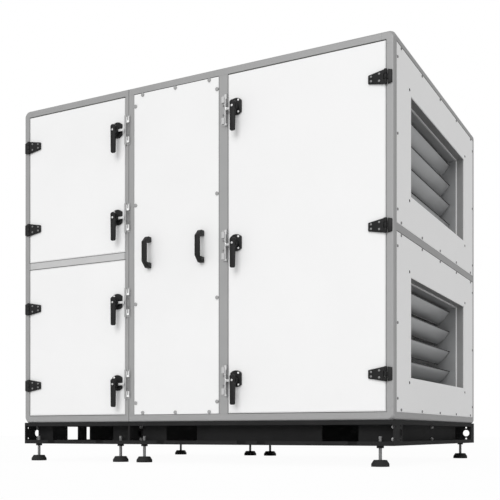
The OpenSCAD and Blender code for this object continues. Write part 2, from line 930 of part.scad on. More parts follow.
module at_right_pin(z) {
  translate([right_pin_x, 0, z]) mirror([1, 0, 0]) children();
}

module at_left_latch(z) {
  translate([left_latch_x, 0, z - latch_up]) children();
}

module at_right_latch(z) {
  translate([right_latch_x, 0, z - latch_up]) mirror([1, 0, 0]) children();
}

module hinge_frame_leaves() {
  color(black) casing() {
    for (z = concat(left_low_z, left_up_z)) {
      at_left_pin(z) frame_leaf();
    }
    for (z = right_z) {
      at_right_pin(z) frame_leaf();
    }
  }
}

module latch_keepers() {
  color(zinc) casing() {
    for (z = concat(left_low_z, left_up_z)) {
      translate([left_x1, 0, z - latch_up]) keeper();
    }
    for (z = right_z) {
      translate([right_x0, 0, z - latch_up]) mirror([1, 0, 0]) keeper();
    }
  }
}

module bow_handle() {
  inner = bow_grip / 2 - bow_t * bow_share;
  rotate([0, 0, 90]) rotate([90, 0, 0]) linear_extrude(bow_w, center = true) polygon([
    [0, -bow_h / 2], [-bow_shoulder, -bow_h / 2], [-bow_out, -bow_grip / 2], [-bow_out, bow_grip / 2],
    [-bow_shoulder, bow_h / 2], [0, bow_h / 2], [0, bow_h / 2 - bow_foot],
    [-bow_shoulder, bow_h / 2 - bow_foot],
    [bow_t - bow_out, inner], [bow_t - bow_out, -inner], [-bow_shoulder, bow_foot - bow_h / 2],
    [0, bow_foot - bow_h / 2]]);
}

module bow_handles() {
  color(black) casing() for (dx = [-bow_side, bow_side]) {
    translate([(panel_x0 + panel_x1) / 2 + dx, 0, mid_z]) bow_handle();
  }
}

// Door for a face opening of w by h: flange in front of the seal, body inside the frame
module door(w, h) {
  box([door_gap, door_gap, -flange_t], [w - door_gap, h - door_gap, 0]);
  box([lip + body_clear, lip + body_clear, -door_t],
    [w - lip - body_clear, h - lip - body_clear, -flange_t]);
}

module upper_left_door() {
  color(white) casing() on_front(left_x0, up_z0) door(left_x1 - left_x0, up_z1 - up_z0);
}

module lower_left_door() {
  color(white) casing() on_front(left_x0, low_z0) door(left_x1 - left_x0, low_z1 - low_z0);
}

module right_door() {
  color(white) casing() on_front(right_x0, low_z0) door(right_x1 - right_x0, up_z1 - low_z0);
}

module left_fittings(zs) {
  for (z = zs) {
    at_left_pin(z) door_leaf();
    at_left_latch(z) latch_base();
  }
}

module upper_left_fittings() {
  color(black) casing() left_fittings(left_up_z);
}

module lower_left_fittings() {
  color(black) casing() left_fittings(left_low_z);
}

module right_fittings() {
  color(black) casing() for (z = right_z) {
    at_right_pin(z) door_leaf();
    at_right_latch(z) latch_base();
  }
}

module left_lever_1() {
  color(black) casing() at_left_latch(left_low_z[0]) latch_lever();
}

module left_lever_2() {
  color(black) casing() at_left_latch(left_low_z[1]) latch_lever();
}

module left_lever_3() {
  color(black) casing() at_left_latch(left_up_z[0]) latch_lever();
}

module left_lever_4() {
  color(black) casing() at_left_latch(left_up_z[1]) latch_lever();
}

module right_lever_1() {
  color(black) casing() at_right_latch(right_z[0]) latch_lever();
}

module right_lever_2() {
  color(black) casing() at_right_latch(right_z[1]) latch_lever();
}

module right_lever_3() {
  color(black) casing() at_right_latch(right_z[2]) latch_lever();
}

left_frame();
right_frame();
roof_panels();
floor_panels();
left_end_panels();
back_panels();
middle_front_panel();
right_upper_end_panel();
right_lower_end_panel();
mid_floors();
upper_damper_frame();
lower_damper_frame();
left_damper_frames();
left_damper_blades();
left_base_frame();
right_base_frame();
base_corner_plates();
foot_pads();
foot_studs();
hinge_frame_leaves();
latch_keepers();
bow_handles();
upper_left_door();
lower_left_door();
right_door();
upper_left_fittings();
lower_left_fittings();
right_fittings();
left_lever_1();
left_lever_2();
left_lever_3();
left_lever_4();
right_lever_1();
right_lever_2();
right_lever_3();
upper_blade_1();
upper_blade_2();
upper_blade_3();
upper_blade_4();
lower_blade_1();
lower_blade_2();
lower_blade_3();
lower_blade_4();
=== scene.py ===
"""Looks of the air handling unit: fittings, seals, screws and surfaces over the CAD nodes."""

import json
import math

import bpy
from bpy.props import FloatProperty, FloatVectorProperty, PointerProperty
from bpy.types import Operator, Panel, PropertyGroup
from mathutils import Matrix, Vector


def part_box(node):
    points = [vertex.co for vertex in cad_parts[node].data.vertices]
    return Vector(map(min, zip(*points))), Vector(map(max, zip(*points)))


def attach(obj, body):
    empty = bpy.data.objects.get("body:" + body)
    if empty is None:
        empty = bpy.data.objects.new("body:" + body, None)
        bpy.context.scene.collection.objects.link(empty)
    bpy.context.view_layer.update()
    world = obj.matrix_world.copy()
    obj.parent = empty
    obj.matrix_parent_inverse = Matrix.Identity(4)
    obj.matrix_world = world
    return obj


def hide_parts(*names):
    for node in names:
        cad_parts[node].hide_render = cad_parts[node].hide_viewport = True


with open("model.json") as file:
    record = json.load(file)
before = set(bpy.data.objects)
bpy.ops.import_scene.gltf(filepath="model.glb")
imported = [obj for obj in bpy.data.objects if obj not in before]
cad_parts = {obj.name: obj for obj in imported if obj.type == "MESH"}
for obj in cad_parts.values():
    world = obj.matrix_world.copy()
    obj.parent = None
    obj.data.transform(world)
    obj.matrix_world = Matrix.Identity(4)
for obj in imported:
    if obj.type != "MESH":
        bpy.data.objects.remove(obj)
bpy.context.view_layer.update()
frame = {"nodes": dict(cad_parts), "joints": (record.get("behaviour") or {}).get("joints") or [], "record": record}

bl_info = {
    "name": "Air Handling Unit",
    "version": (1, 0, 0),
    "blender": (4, 0, 0),
    "location": "View3D > Sidebar > Air Unit",
    "description": "Models the fittings and surfaces of a two-module air handling unit",
    "category": "Object",
}

FRONT = Vector((0, -1, 0))
BACK = Vector((0, 1, 0))
RIGHT = Vector((1, 0, 0))
LEFT = Vector((-1, 0, 0))
UP = Vector((0, 0, 1))

# Of each door: the node of its fittings, its levers and the way from its hinges to its latches.
DOORS = {
    "upper_left_door": ("upper_left_fittings", ("left_lever_3", "left_lever_4"), 1.0),
    "lower_left_door": ("lower_left_fittings", ("left_lever_1", "left_lever_2"), 1.0),
    "right_door": ("right_fittings", ("right_lever_1", "right_lever_2", "right_lever_3"), -1.0),
}
END_PANELS = ("right_upper_end_panel", "right_lower_end_panel")
BLADES = tuple(f"{side}_blade_{n}" for side in ("upper", "lower") for n in (1, 2, 3, 4))


# ---- sizes and colours

def length(name, description, default):
    """A length property in metres."""
    return FloatProperty(name=name, description=description, default=default,
                         unit="LENGTH", subtype="DISTANCE", precision=4)


def tint(name, description, default):
    """A linear colour property."""
    return FloatVectorProperty(name=name, description=description, default=default,
                               size=3, min=0.0, max=1.0, subtype="COLOR")


class AirUnitSizes(PropertyGroup):
    """Sizes of the modelled pieces."""
    hinge_height: length("Hinge height", "Height of a hinge", 0.057)
    hinge_reach: length("Hinge reach", "Length of the door leaf past the pin", 0.0715)
    hinge_tip: length("Hinge tip", "Height of the door leaf at its tip", 0.033)
    hinge_thick: length("Hinge thickness", "Thickness of the door leaf", 0.0105)
    hinge_back: length("Hinge back", "Length of the frame leaf past the pin", 0.0258)
    knuckle_radius: length("Knuckle radius", "Radius of the hinge knuckles", 0.0068)
    latch_radius: length("Latch radius", "Radius of the latch base", 0.0355)
    latch_width: length("Latch width", "Width of the latch base", 0.052)
    latch_thick: length("Latch thickness", "Thickness of the latch base", 0.009)
    lever_width: length("Lever width", "Width of the lever", 0.0240)
    hub_radius: length("Hub radius", "Radius of the lever round its spindle", 0.0128)
    tongue_reach: length("Tongue reach", "Reach of the latch tongue past its spindle", 0.046)
    lever_top: length("Lever top", "Reach of the lever above its spindle", 0.026)
    lever_drop: length("Lever drop", "Reach of the lever below its spindle", 0.103)
    screw_radius: length("Screw radius", "Head radius of the panel screws", 0.0078)
    small_screw: length("Small screw", "Head radius of the screws in fittings", 0.0042)
    seal_width: length("Seal width", "Width of the door seal", 0.011)
    edge_reach: length("Edge reach", "Reach of the pale edge seal past the door", 0.0032)
    edge_top: length("Edge top", "Reach of the pale edge seal above the door", 0.0012)
    # Painted shade: a black strip stands for the dark gap over a panel.
    gap_shade_width: length("Gasket width", "Height of the dark gasket over a panel", 0.0030)
    flange_over: length("Flange", "Reach of the damper flange past its opening", 0.024)
    lip_width: length("Lip width", "Width of the bright damper lip", 0.0052)
    lip_depth: length("Lip depth", "Depth of the bright damper lip", 0.0045)
    lip_sheet: length("Lip sheet", "Depth of the bright sheet behind the lip", 0.0085)
    white_edge: length("White edge", "Depth of the painted edge of a duct opening", 0.0040)
    panel_depth: length("Panel depth", "Thickness of the end panels", 0.040)
    hole_radius: length("Hole radius", "Radius of the duct bolt holes", 0.0044)
    hole_rim: length("Hole rim", "Radius of the dark rim round a duct bolt hole", 0.0062)
    # The lining is black as painted shade inside the hole.
    hole_depth: length("Hole depth", "Depth of the lining of a duct bolt hole", 0.0138)
    hole_side: length("Hole side", "Duct bolt holes beside an opening", 0.020)
    hole_over: length("Hole over", "Duct bolt holes over and under an opening", 0.020)
    blade_gap: length("Blade gap", "Gap between a blade's end and its frame", 0.0068)
    blade_thick: length("Blade thickness", "Thickness of a blade in its middle", 0.014)
    blade_edge: length("Blade edge", "Thickness of a blade at its edges", 0.003)
    blade_nose: length("Blade nose", "Length of the rounded ends of a blade", 0.014)
    bolt_radius: length("Bolt radius", "Corner radius of the base bolt heads", 0.0072)
    thread_pitch: length("Thread pitch", "Pitch of the foot studs", 0.002)


class AirUnitColours(PropertyGroup):
    """Linear colours of the surfaces."""
    paint: tint("Paint", "White powder coat of doors and panels", (0.900, 0.900, 0.900))
    frame_metal: tint("Frame", "Grey of the corner profiles", (0.355, 0.355, 0.355))
    # This grey is also the painted shade on the tops of the damper lips.
    light_metal: tint("Light frame", "Lighter grey of rails and clips", (0.57, 0.57, 0.57))
    base_paint: tint("Base", "Black paint of the base rails", (0.0250, 0.0250, 0.0254))
    plastic: tint("Plastic", "Black plastic of fittings", (0.0150, 0.0150, 0.0152))
    # This black is also the painted shade in the panels' gaps and inside the duct bolt holes.
    rubber: tint("Rubber", "Seals and pads", (0.012, 0.012, 0.012))
    pale_rubber: tint("Pale rubber", "Edge seals of the doors", (0.800, 0.800, 0.800))
    zinc: tint("Zinc", "Zinc plated steel", (0.70, 0.70, 0.70))
    keeper: tint("Keeper", "Dull zinc of the keepers", (0.46, 0.46, 0.46))
    # This grey is also the painted shade on the tops of the duct linings and inside the keepers by the left doors.
    screw: tint("Screw", "Grey screw heads and inlays", (0.24, 0.24, 0.24))
    panel_screw: tint("Panel screw", "Screw heads of the middle panel", (0.36, 0.36, 0.36))
    dark_screw: tint("Dark screw", "Screw heads of the end panels", (0.240, 0.240, 0.240))
    # Painted shade on the keepers: dark boxes in the caps' notches and a dark strip beside the right keeper's lip.
    groove: tint("Groove", "Dark grooves of the keepers", (0.10, 0.10, 0.10))
    stud: tint("Stud", "Steel of the foot studs", (0.40, 0.40, 0.40))
    reveal: tint("Reveal", "Dark sheet that lines the duct openings", (0.32, 0.32, 0.32))
    # This white is also the painted highlight on the keeper caps by the left doors and on the lip edge of the
    # right door's keeper.
    lip: tint("Lip", "Bright lip of the dampers", (0.95, 0.95, 0.95))
    damper: tint("Damper", "Damper sheet and blades", (0.39, 0.395, 0.40))
    sheet: tint("Sheet", "Galvanised inner sheet", (0.50, 0.51, 0.52))


# ---- modelling helpers

FACING = 0.9            # least share of a normal along a way that it faces
THIN_EDGE = 0.0003      # rounding of thin trim
WELD_REACH = 0.00001    # points closer than this are one
SMOOTH_ANGLE = 35.0     # degrees


def fresh():
    """Object mode with nothing selected."""
    if bpy.context.object and bpy.context.object.mode != "OBJECT":
        bpy.ops.object.mode_set(mode="OBJECT")
    bpy.ops.object.select_all(action="DESELECT")


def activate(ob):
    """Makes one object the only selected and active one."""
    fresh()
    ob.select_set(True)
    bpy.context.view_layer.objects.active = ob


def settle(name):
    """Puts the active object's place into its mesh."""
    bpy.ops.object.transform_apply(location=True, rotation=True, scale=True)
    ob = bpy.context.object
    ob.name = name
    return ob


def block(name, low, high):
    """A box between two corners."""
    fresh()
    low, high = Vector(low), Vector(high)
    bpy.ops.mesh.primitive_cube_add(size=1, location=(low + high) / 2, scale=high - low)
    return settle(name)


def drum(name, at, normal, radius, depth, sides):
    """A cylinder standing on a point, along a normal."""
    fresh()
    normal = Vector(normal)
    turn = UP.rotation_difference(normal).to_euler()
    bpy.ops.mesh.primitive_cylinder_add(vertices=sides, radius=radius, depth=depth,
                                        location=Vector(at) + normal * depth / 2, rotation=turn)
    return settle(name)


def choose(ob, test, kind="FACE"):
    """Leaves the object in edit mode with the faces or edges that pass the test selected."""
    activate(ob)
    bpy.ops.object.mode_set(mode="EDIT")
    bpy.ops.mesh.select_mode(type=kind)
    bpy.ops.mesh.select_all(action="DESELECT")
    bpy.ops.object.mode_set(mode="OBJECT")
    found = 0
    if kind == "FACE":
        for face in ob.data.polygons:
            face.select = bool(test(face.center, face.normal))
            found += face.select
    else:
        points = ob.data.vertices
        for edge in ob.data.edges:
            a, b = (points[i].co for i in edge.vertices)
            edge.select = bool(test(a, b))
            found += edge.select
    if not found:
        raise RuntimeError(f"nothing to select on {ob.name}")
    bpy.ops.object.mode_set(mode="EDIT")


def done():
    """Back to object mode."""
    bpy.ops.object.mode_set(mode="OBJECT")


def facing(way):
    """A test for faces that look one way."""
    return lambda centre, normal: normal.dot(way) > FACING


def across(way):
    """A test for faces that look one way or the opposite way."""
    return lambda centre, normal: abs(normal.dot(way)) > FACING


def every(*_):
    """A test that all faces pass."""
    return True


def apply_modifier(ob, kind, **settings):
    """Adds a modifier with its settings and applies it."""
    activate(ob)
    modifier = ob.modifiers.new(kind.lower(), kind)
    for key, value in settings.items():
        setattr(modifier, key, value)
    bpy.ops.object.modifier_apply(modifier=modifier.name)


def soften(ob, width, segments=2, angle=30.0):
    """Rounds the edges of a piece."""
    apply_modifier(ob, "BEVEL", width=width, segments=segments, limit_method="ANGLE",
                   angle_limit=math.radians(angle), use_clamp_overlap=True)


def slice_off(ob, point, normal):
    """Cuts away the side of a plane that the normal points to."""
    activate(ob)
    bpy.ops.object.mode_set(mode="EDIT")
    bpy.ops.mesh.select_all(action="SELECT")
    bpy.ops.mesh.bisect(plane_co=point, plane_no=normal, use_fill=True, clear_outer=True)
    done()


def taper(ob, way, scale, centre):
    """Scales the faces that look one way about a point."""
    choose(ob, facing(way))
    bpy.ops.transform.resize(value=scale, center_override=centre)
    done()


def raised(ob, way, rim, rise):
    """Insets the faces that look one way and moves them along it."""
    choose(ob, facing(way))
    bpy.ops.mesh.inset(thickness=rim)
    bpy.ops.transform.translate(value=way * rise)
    done()


def sleeve(name, low, high, thick, way=RIGHT):
    """A box that is open along one way, with walls of a thickness."""
    ob = block(name, low, high)
    opened(ob, across(way))
    apply_modifier(ob, "SOLIDIFY", thickness=thick, offset=-1.0, use_even_offset=True)
    return ob


def rounded(ob, test, radius):
    """Rounds the corners at the edges that pass the test."""
    choose(ob, test, "EDGE")
    bpy.ops.mesh.bevel(offset=radius, segments=6, profile=0.5)
    done()


def opened(ob, test):
    """Takes away the faces that pass the test."""
    choose(ob, test)
    bpy.ops.mesh.delete(type="FACE")
    done()


def drop(ob):
    """Removes a helper object and its mesh."""
    mesh = ob.data
    bpy.data.objects.remove(ob)
    bpy.data.meshes.remove(mesh)


def carve(ob, tool):
    """Takes one piece out of another."""
    apply_modifier(ob, "BOOLEAN", operation="DIFFERENCE", object=tool, solver="EXACT")
    drop(tool)


def copy_at(master, matrix):
    """A copy with its own mesh, moved by a matrix."""
    ob = master.copy()
    ob.data = master.data.copy()
    ob.data.transform(matrix)
    if matrix.determinant() < 0:
        ob.data.flip_normals()
    bpy.context.collection.objects.link(ob)
    return ob


def place(at, normal=FRONT):
    """The matrix that stands a piece made along +Z on a point."""
    turn = UP.rotation_difference(Vector(normal)).to_matrix().to_4x4()
    return Matrix.Translation(Vector(at)) @ turn


def shift(x=0.0, y=0.0, z=0.0):
    """A translation."""
    return Matrix.Translation((x, y, z))


def flipped(way):
    """A mirror across X where the way is negative."""
    return Matrix.Diagonal((way, 1, 1, 1))


def join(name, parts):
    """Joins pieces into one."""
    fresh()
    for part in parts:
        part.select_set(True)
    bpy.context.view_layer.objects.active = parts[0]
    if len(parts) > 1:
        bpy.ops.object.join()
    parts[0].name = name
    return parts[0]


def give(ob, surface):
    """Sets the only material of a piece."""
    ob.data.materials.clear()
    ob.data.materials.append(surface_of(surface))
    return ob


def trim(name, low, high, surface, edge=THIN_EDGE):
    """A box with softened edges and a surface."""
    ob = block(name, low, high)
    soften(ob, edge, 1)
    return give(ob, surface)


def turned(name, at, normal, form, sides, segments=2):
    """A cylinder of a radius and length with rounded edges."""
    radius, depth, edge = form
    ob = drum(name, at, normal, radius, depth, sides)
    soften(ob, edge, segments)
    return ob


def piece(name, parts, body, slot, *nodes):
    """Joins and smooths a finished piece, puts it on its body and hides the CAD nodes it stands for; the slot is
    not used.
    """
    ob = join(name, parts)
    activate(ob)
    bpy.ops.object.mode_set(mode="EDIT")
    bpy.ops.mesh.select_all(action="SELECT")
    bpy.ops.mesh.remove_doubles(threshold=WELD_REACH)
    bpy.ops.mesh.normals_make_consistent(inside=False)
    done()
    bpy.ops.object.shade_smooth_by_angle(angle=math.radians(SMOOTH_ANGLE))
    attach(ob, body)
    if nodes:
        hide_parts(*nodes)
    fresh()


def box_of(node):
    """Low and high corner of a CAD node."""
    low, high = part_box(node)
    return Vector(low), Vector(high)


def door_face():
    """Where the front of the doors is."""
    return box_of("right_door")[0].y


def joint_place(name):
    """Where a joint's axis passes."""
    for joint in frame["joints"]:
        if joint["name"] == name:
            return Vector(joint["pos_m"])
    raise RuntimeError(f"no joint {name}")


# ---- surfaces

NOISE_LOW, NOISE_HIGH = 0.3, 0.7  # the part of a noise's range that is used
SPANGLE_METAL, SPANGLE_SCALE, SPANGLE_SPREAD = 0.75, 70.0, 0.06
SPANGLE_BUMP = (300.0, 0.05, 0.0005)
SPANGLE_ROUGHNESS = (0.36, 0.5)

# Scale of the broad and of the fine noise, strength and distance of the bump.
PROFILE_GRAIN = (8.0, 600.0, 0.05, 0.0004)
ZINC_GRAIN = (60.0, 800.0, 0.06, 0.0003)
SCREW_GRAIN = (80.0, 900.0, 0.06, 0.0003)
SHEET_GRAIN = (12.0, 500.0, 0.05, 0.0004)
PLAIN_SHINE = 0.5

# Of each coat: its colour property, spread of the tint, roughness from and to, metallic share,
# grain, and the specular level where it is not the plain one.
COATS = {
    "white_powder_coat": ("paint", 0.008, (0.42, 0.52), 0.0, (3.0, 420.0, 0.06, 0.0006)),
    "grey_profile": ("frame_metal", 0.025, (0.42, 0.52), 0.15, PROFILE_GRAIN),
    "light_profile": ("light_metal", 0.025, (0.42, 0.52), 0.15, PROFILE_GRAIN),
    "black_base_paint": ("base_paint", 0.10, (0.60, 0.68), 0.0, (9.0, 350.0, 0.05, 0.0004), 0.04),
    "moulded_plastic": ("plastic", 0.10, (0.40, 0.50), 0.0, (25.0, 900.0, 0.12, 0.0004), 0.20),
    "black_rubber": ("rubber", 0.15, (0.72, 0.85), 0.0, (20.0, 500.0, 0.15, 0.0006)),
    "bright_zinc": ("zinc", 0.08, (0.30, 0.42), 0.5, ZINC_GRAIN),
    "dull_zinc": ("keeper", 0.08, (0.34, 0.46), 0.4, ZINC_GRAIN),
    "grey_screw": ("screw", 0.08, (0.34, 0.46), 0.3, SCREW_GRAIN),
    "panel_screw": ("panel_screw", 0.05, (0.5, 0.6), 0.0, SCREW_GRAIN),
    "dark_screw": ("dark_screw", 0.08, (0.4, 0.5), 0.2, SCREW_GRAIN),
    # The painted shade of the keepers.
    "dark_groove": ("groove", 0.08, (0.5, 0.6), 0.2, SCREW_GRAIN),
    "stud_steel": ("stud", 0.10, (0.30, 0.42), 0.5, ZINC_GRAIN),
    "pale_rubber": ("pale_rubber", 0.02, (0.55, 0.65), 0.0, (20.0, 500.0, 0.08, 0.0004)),
    "reveal_sheet": ("reveal", 0.04, (0.42, 0.52), 0.2, SHEET_GRAIN),
    "bright_lip": ("lip", 0.02, (0.35, 0.45), 0.0, (12.0, 500.0, 0.04, 0.0004)),
    "damper_metal": ("damper", 0.05, (0.38, 0.5), 0.45, SHEET_GRAIN),
}
SLOT_SURFACES = {
    "frame": "grey_profile", "white_paint": "white_powder_coat",
    "base": "black_base_paint", "foot_plastic": "black_rubber", "zinc": "dull_zinc",
    "inner_sheet": "galvanised_sheet", "black_plastic": "moulded_plastic",
    "damper_sheet": "damper_metal", "blade": "damper_metal",
}


def new_surface(name, colour, roughness, metallic=0.0):
    """Makes a principled material and gives its node tree and shader."""
    surface = bpy.data.materials.new(name)
    surface.use_nodes = True
    shader = surface.node_tree.nodes["Principled BSDF"]
    shader.inputs["Base Color"].default_value = (*colour, 1.0)
    shader.inputs["Roughness"].default_value = roughness
    shader.inputs["Metallic"].default_value = metallic
    return surface.node_tree, shader


def node(tree, kind, **inputs):
    """A shader node whose inputs are values or the outputs that feed them."""
    made = tree.nodes.new(f"ShaderNode{kind}")
    for name, value in inputs.items():
        cell = made.inputs[name.replace("_", " ")]
        if isinstance(value, bpy.types.NodeSocket):
            tree.links.new(value, cell)
        else:
            cell.default_value = value
    return made


def object_noise(tree, scale, detail=2.0):
    """Noise on object coordinates."""
    coords = node(tree, "TexCoord").outputs["Object"]
    return node(tree, "TexNoise", Vector=coords, Scale=scale, Detail=detail).outputs["Fac"]


def ranged(tree, value, low, high):
    """Maps the middle of a noise onto a range."""
    return node(tree, "MapRange", Value=value, From_Min=NOISE_LOW, From_Max=NOISE_HIGH,
                To_Min=low, To_Max=high).outputs["Result"]


def tinted(tree, value, colour, spread):
    """A colour that varies a little with a noise."""
    ramp = node(tree, "ValToRGB", Fac=value)
    ramp.color_ramp.elements[0].position = NOISE_LOW
    ramp.color_ramp.elements[1].position = NOISE_HIGH
    for element, gain in zip(ramp.color_ramp.elements, (1.0 - spread, 1.0 + spread)):
        element.color = (*(min(1.0, part * gain) for part in colour), 1.0)
    return ramp.outputs["Color"]


def bumped(tree, shader, scale, strength, distance):
    """A fine bump."""
    bump = node(tree, "Bump", Strength=strength, Distance=distance,
                Height=object_noise(tree, scale))
    tree.links.new(bump.outputs["Normal"], shader.inputs["Normal"])


def coat(name, colour, spread, roughness, metallic, grain, shine=PLAIN_SHINE):
    """A surface with broad tint and gloss changes and a fine bump."""
    tree, shader = new_surface(name, colour, sum(roughness) / 2, metallic)
    shader.inputs["Specular IOR Level"].default_value = shine
    broad, *fine = grain
    wide = object_noise(tree, broad, 3.0)
    tree.links.new(tinted(tree, wide, colour, spread), shader.inputs["Base Color"])
    tree.links.new(ranged(tree, wide, *roughness), shader.inputs["Roughness"])
    bumped(tree, shader, *fine)


def spangled(name, colour, roughness):
    """Galvanised sheet with faint crystal patches."""
    tree, shader = new_surface(name, colour, sum(roughness) / 2, SPANGLE_METAL)
    coords = node(tree, "TexCoord").outputs["Object"]
    cells = node(tree, "TexVoronoi", Vector=coords, Scale=SPANGLE_SCALE)
    value = node(tree, "RGBToBW", Color=cells.outputs["Color"]).outputs["Val"]
    tree.links.new(tinted(tree, value, colour, SPANGLE_SPREAD), shader.inputs["Base Color"])
    tree.links.new(ranged(tree, value, *roughness), shader.inputs["Roughness"])
    bumped(tree, shader, *SPANGLE_BUMP)


def surface_of(name):
    """One of the made materials."""
    return bpy.data.materials[name]


class AIRUNIT_OT_surfaces(Operator):
    """Make the materials and put them on the CAD nodes"""
    bl_idname = "airunit.surfaces"
    bl_label = "Surfaces"

    def execute(self, context):
        hue = context.scene.air_unit_colours
        for name, (colour, *values) in COATS.items():
            coat(name, getattr(hue, colour), *values)
        spangled("galvanised_sheet", hue.sheet, SPANGLE_ROUGHNESS)
        for part in frame["record"]["subparts"]:
            ob = frame["nodes"][part["node"]]
            for cell in ob.material_slots:
                cell.link = "OBJECT"
                cell.material = surface_of(SLOT_SURFACES[part["material_slot"]])
        return {"FINISHED"}


# ---- pieces

# Shares of a screw head's radius.
HEAD_TALL, HEAD_RIM, HEAD_DOME, SOCKET_FLOOR, SOCKET_WIDE = 0.5, 0.3, 0.14, 0.3, 0.42
END_SCREW = 0.70  # radius of an end panel's screw, as a share of the front panel's


def screw_head(name, radius, socket=True):
    """A low domed screw head along +Z with a hexagon socket."""
    ob = drum(name, (0, 0, 0), UP, radius, radius * HEAD_TALL, 20)
    raised(ob, UP, radius * HEAD_RIM, radius * HEAD_DOME)
    if socket:
        carve(ob, drum("socket", UP * radius * SOCKET_FLOOR, UP, radius * SOCKET_WIDE, radius, 6))
    return ob


def screws(name, radius, spots, body, surface="grey_screw", socket=True, normal=FRONT):
    """Screw heads on a list of places, as one piece."""
    master = give(screw_head("screw_master", radius, socket), surface)
    heads = [copy_at(master, place(at, normal)) for at in spots]
    drop(master)
    return piece(name, heads, body, "zinc")


KNUCKLE_GAP, RING_ROUND = 0.0012, 0.0008
DOOR_ROOT, DOOR_TIP_THIN, DOOR_ROUND = 0.004, 0.72, 0.0028
SLOT_REACH, SLOT_ROOM, SLOT_OVER = 0.0084, 0.02, 0.001
FRAME_ROOT, FRAME_THICK, FRAME_ROUND = 0.0085, 0.007, 0.0022
FRAME_TIP = (1, 0.8, 0.86)
ARM_BACK, ARM_FRONT, ARM_SEAT = 0.012, 0.0075, 0.001
HINGE_PIN, PIN_OVER = 0.003, 0.001
# Of each screw: distance from the pin, height and distance from the door.
HINGE_SCREWS = ((0.0585, 0.0088, 0.0081), (0.0585, -0.0088, 0.0081),
                (0.0250, 0.0135, 0.0094), (0.0250, -0.0135, 0.0094))


def pin_out():
    """Distance of the door faces behind the hinge pins."""
    return door_face() - joint_place("right_door_swing").y


def knuckle(size, low):
    """One ring of the hinge round the pin."""
    tall = size.hinge_height / 3 - KNUCKLE_GAP
    return turned("knuckle", (0, 0, low), UP, (size.knuckle_radius, tall, RING_ROUND), 28)


def door_leaf(size):
    """Tapered door leaf, pin on the Z axis at y = 0, door face at y = pin_out."""
    half, third, face = size.hinge_height / 2, size.hinge_height / 3, pin_out()
    leaf = block("door_leaf", (DOOR_ROOT, face - size.hinge_thick, -half),
                 (size.hinge_reach, face, half))
    taper(leaf, RIGHT, (1, DOOR_TIP_THIN, size.hinge_tip / size.hinge_height),
          (size.hinge_reach, face, 0))
    soften(leaf, DOOR_ROUND, 3)
    high = (third + KNUCKLE_GAP) / 2
    carve(leaf, block("slot", (-SLOT_ROOM, face - SLOT_ROOM, -high),
                      (SLOT_REACH, face + SLOT_OVER, high)))
    rings = [knuckle(size, low) for low in (-half, half - third + KNUCKLE_GAP)]
    return give(join("door_leaf", [leaf, *rings]), "moulded_plastic")


def frame_leaf(size):
    """Leaf on the frame with the middle knuckle and the pin."""
    half, face = size.hinge_height / 2, pin_out()
    high = (size.hinge_height / 3 - KNUCKLE_GAP) / 2
    leaf = block("frame_leaf", (-size.hinge_back, face - FRAME_THICK, -half),
                 (-FRAME_ROOT, face, half))
    taper(leaf, LEFT, FRAME_TIP, (-size.hinge_back, face, 0))
    soften(leaf, FRAME_ROUND, 3)
    arm = block("arm", (-ARM_BACK, face - ARM_FRONT, -high), (0, face - ARM_SEAT, high))
    ring = knuckle(size, -high)
    pin = drum("pin", (0, 0, -half - PIN_OVER), UP, HINGE_PIN, size.hinge_height + 2 * PIN_OVER, 16)
    return give(join("frame_leaf", [leaf, arm, ring, pin]), "moulded_plastic")


class AIRUNIT_OT_hinges(Operator):
    """Model the tapered hinges on the doors and the frame"""
    bl_idname = "airunit.hinges"
    bl_label = "Hinges"

    def execute(self, context):
        size = context.scene.air_unit_sizes
        face_y = door_face()
        pins = {name: joint_place(f"{name}_swing") for name in DOORS}
        leaf = door_leaf(size)
        back = frame_leaf(size)
        on_frame = []
        for door, (fittings, levers, way) in DOORS.items():
            pin = pins[door]
            leaves, spots = [], []
            for lever in levers:
                high = joint_place(f"{lever}_turn").z + context.scene.air_unit_latch_offset
                spot = shift(pin.x, pin.y, high) @ flipped(way)
                leaves.append(copy_at(leaf, spot))
                on_frame.append(copy_at(back, spot))
                for along, up, out in HINGE_SCREWS:
                    spots.append((pin.x + way * along, face_y - out, high + up))
            piece(f"{door}_hinge_leaves", leaves, door, "black_plastic", fittings)
            screws(f"{door}_hinge_screws", size.small_screw, spots, door)
        piece("frame_hinge_leaves", on_frame, "casing", "black_plastic", "hinge_frame_leaves")
        drop(leaf)
        drop(back)
        return {"FINISHED"}


BASE_RIM, BASE_DOME, BASE_ROUND = 0.0045, 0.0004, 0.0016
BOSS_SEAT = 0.002
# Radius, length and rounding.
BOSS, NECK = (0.0138, 0.0073, 0.0012), (0.0160, 0.0135, 0.001)
ROLLER, SPINDLE_CAP = (0.0042, 0.0136, 0.0006), (0.0046, 0.0014, 0.0005)
LATCH_SCREW_SIDE, LATCH_SCREW_UP = 0.0135, 0.0245
# Places before the door are negative.
LEVER_FRONT, LEVER_BACK, LEVER_ROUND = -0.0420, -0.0285, 0.0022
LEVER_END, LEVER_END_Y, LEVER_CORNER = (0.94, 0.80, 1), -0.0405, 0.0066
LOWER_HALF, SAME_PLACE = -0.05, 0.001
HUB_BACK, HUB_DEPTH, HUB_END = -0.0270, 0.0156, (0.93, 1, 0.93)
CHEEK_FRONT, CHEEK_BACK, CHEEK_LOW = -0.0422, -0.0274, -0.010
CHEEK_SIDE, CHEEK_FOOT, HUB_ROUND = 0.0008, (0.86, 1, 1), 0.0018
NECK_BACK, CAP_BACK = -0.0150, -0.0424
TONGUE_FRONT, TONGUE_MIDDLE, TONGUE_BACK = -0.0199, -0.0178, -0.0156
TONGUE_ROOT, TONGUE_HALF, TONGUE_SHORT = -0.010, 0.006, 0.004
TONGUE_END, TONGUE_ROUND = (1, 1, 0.8), 0.0007


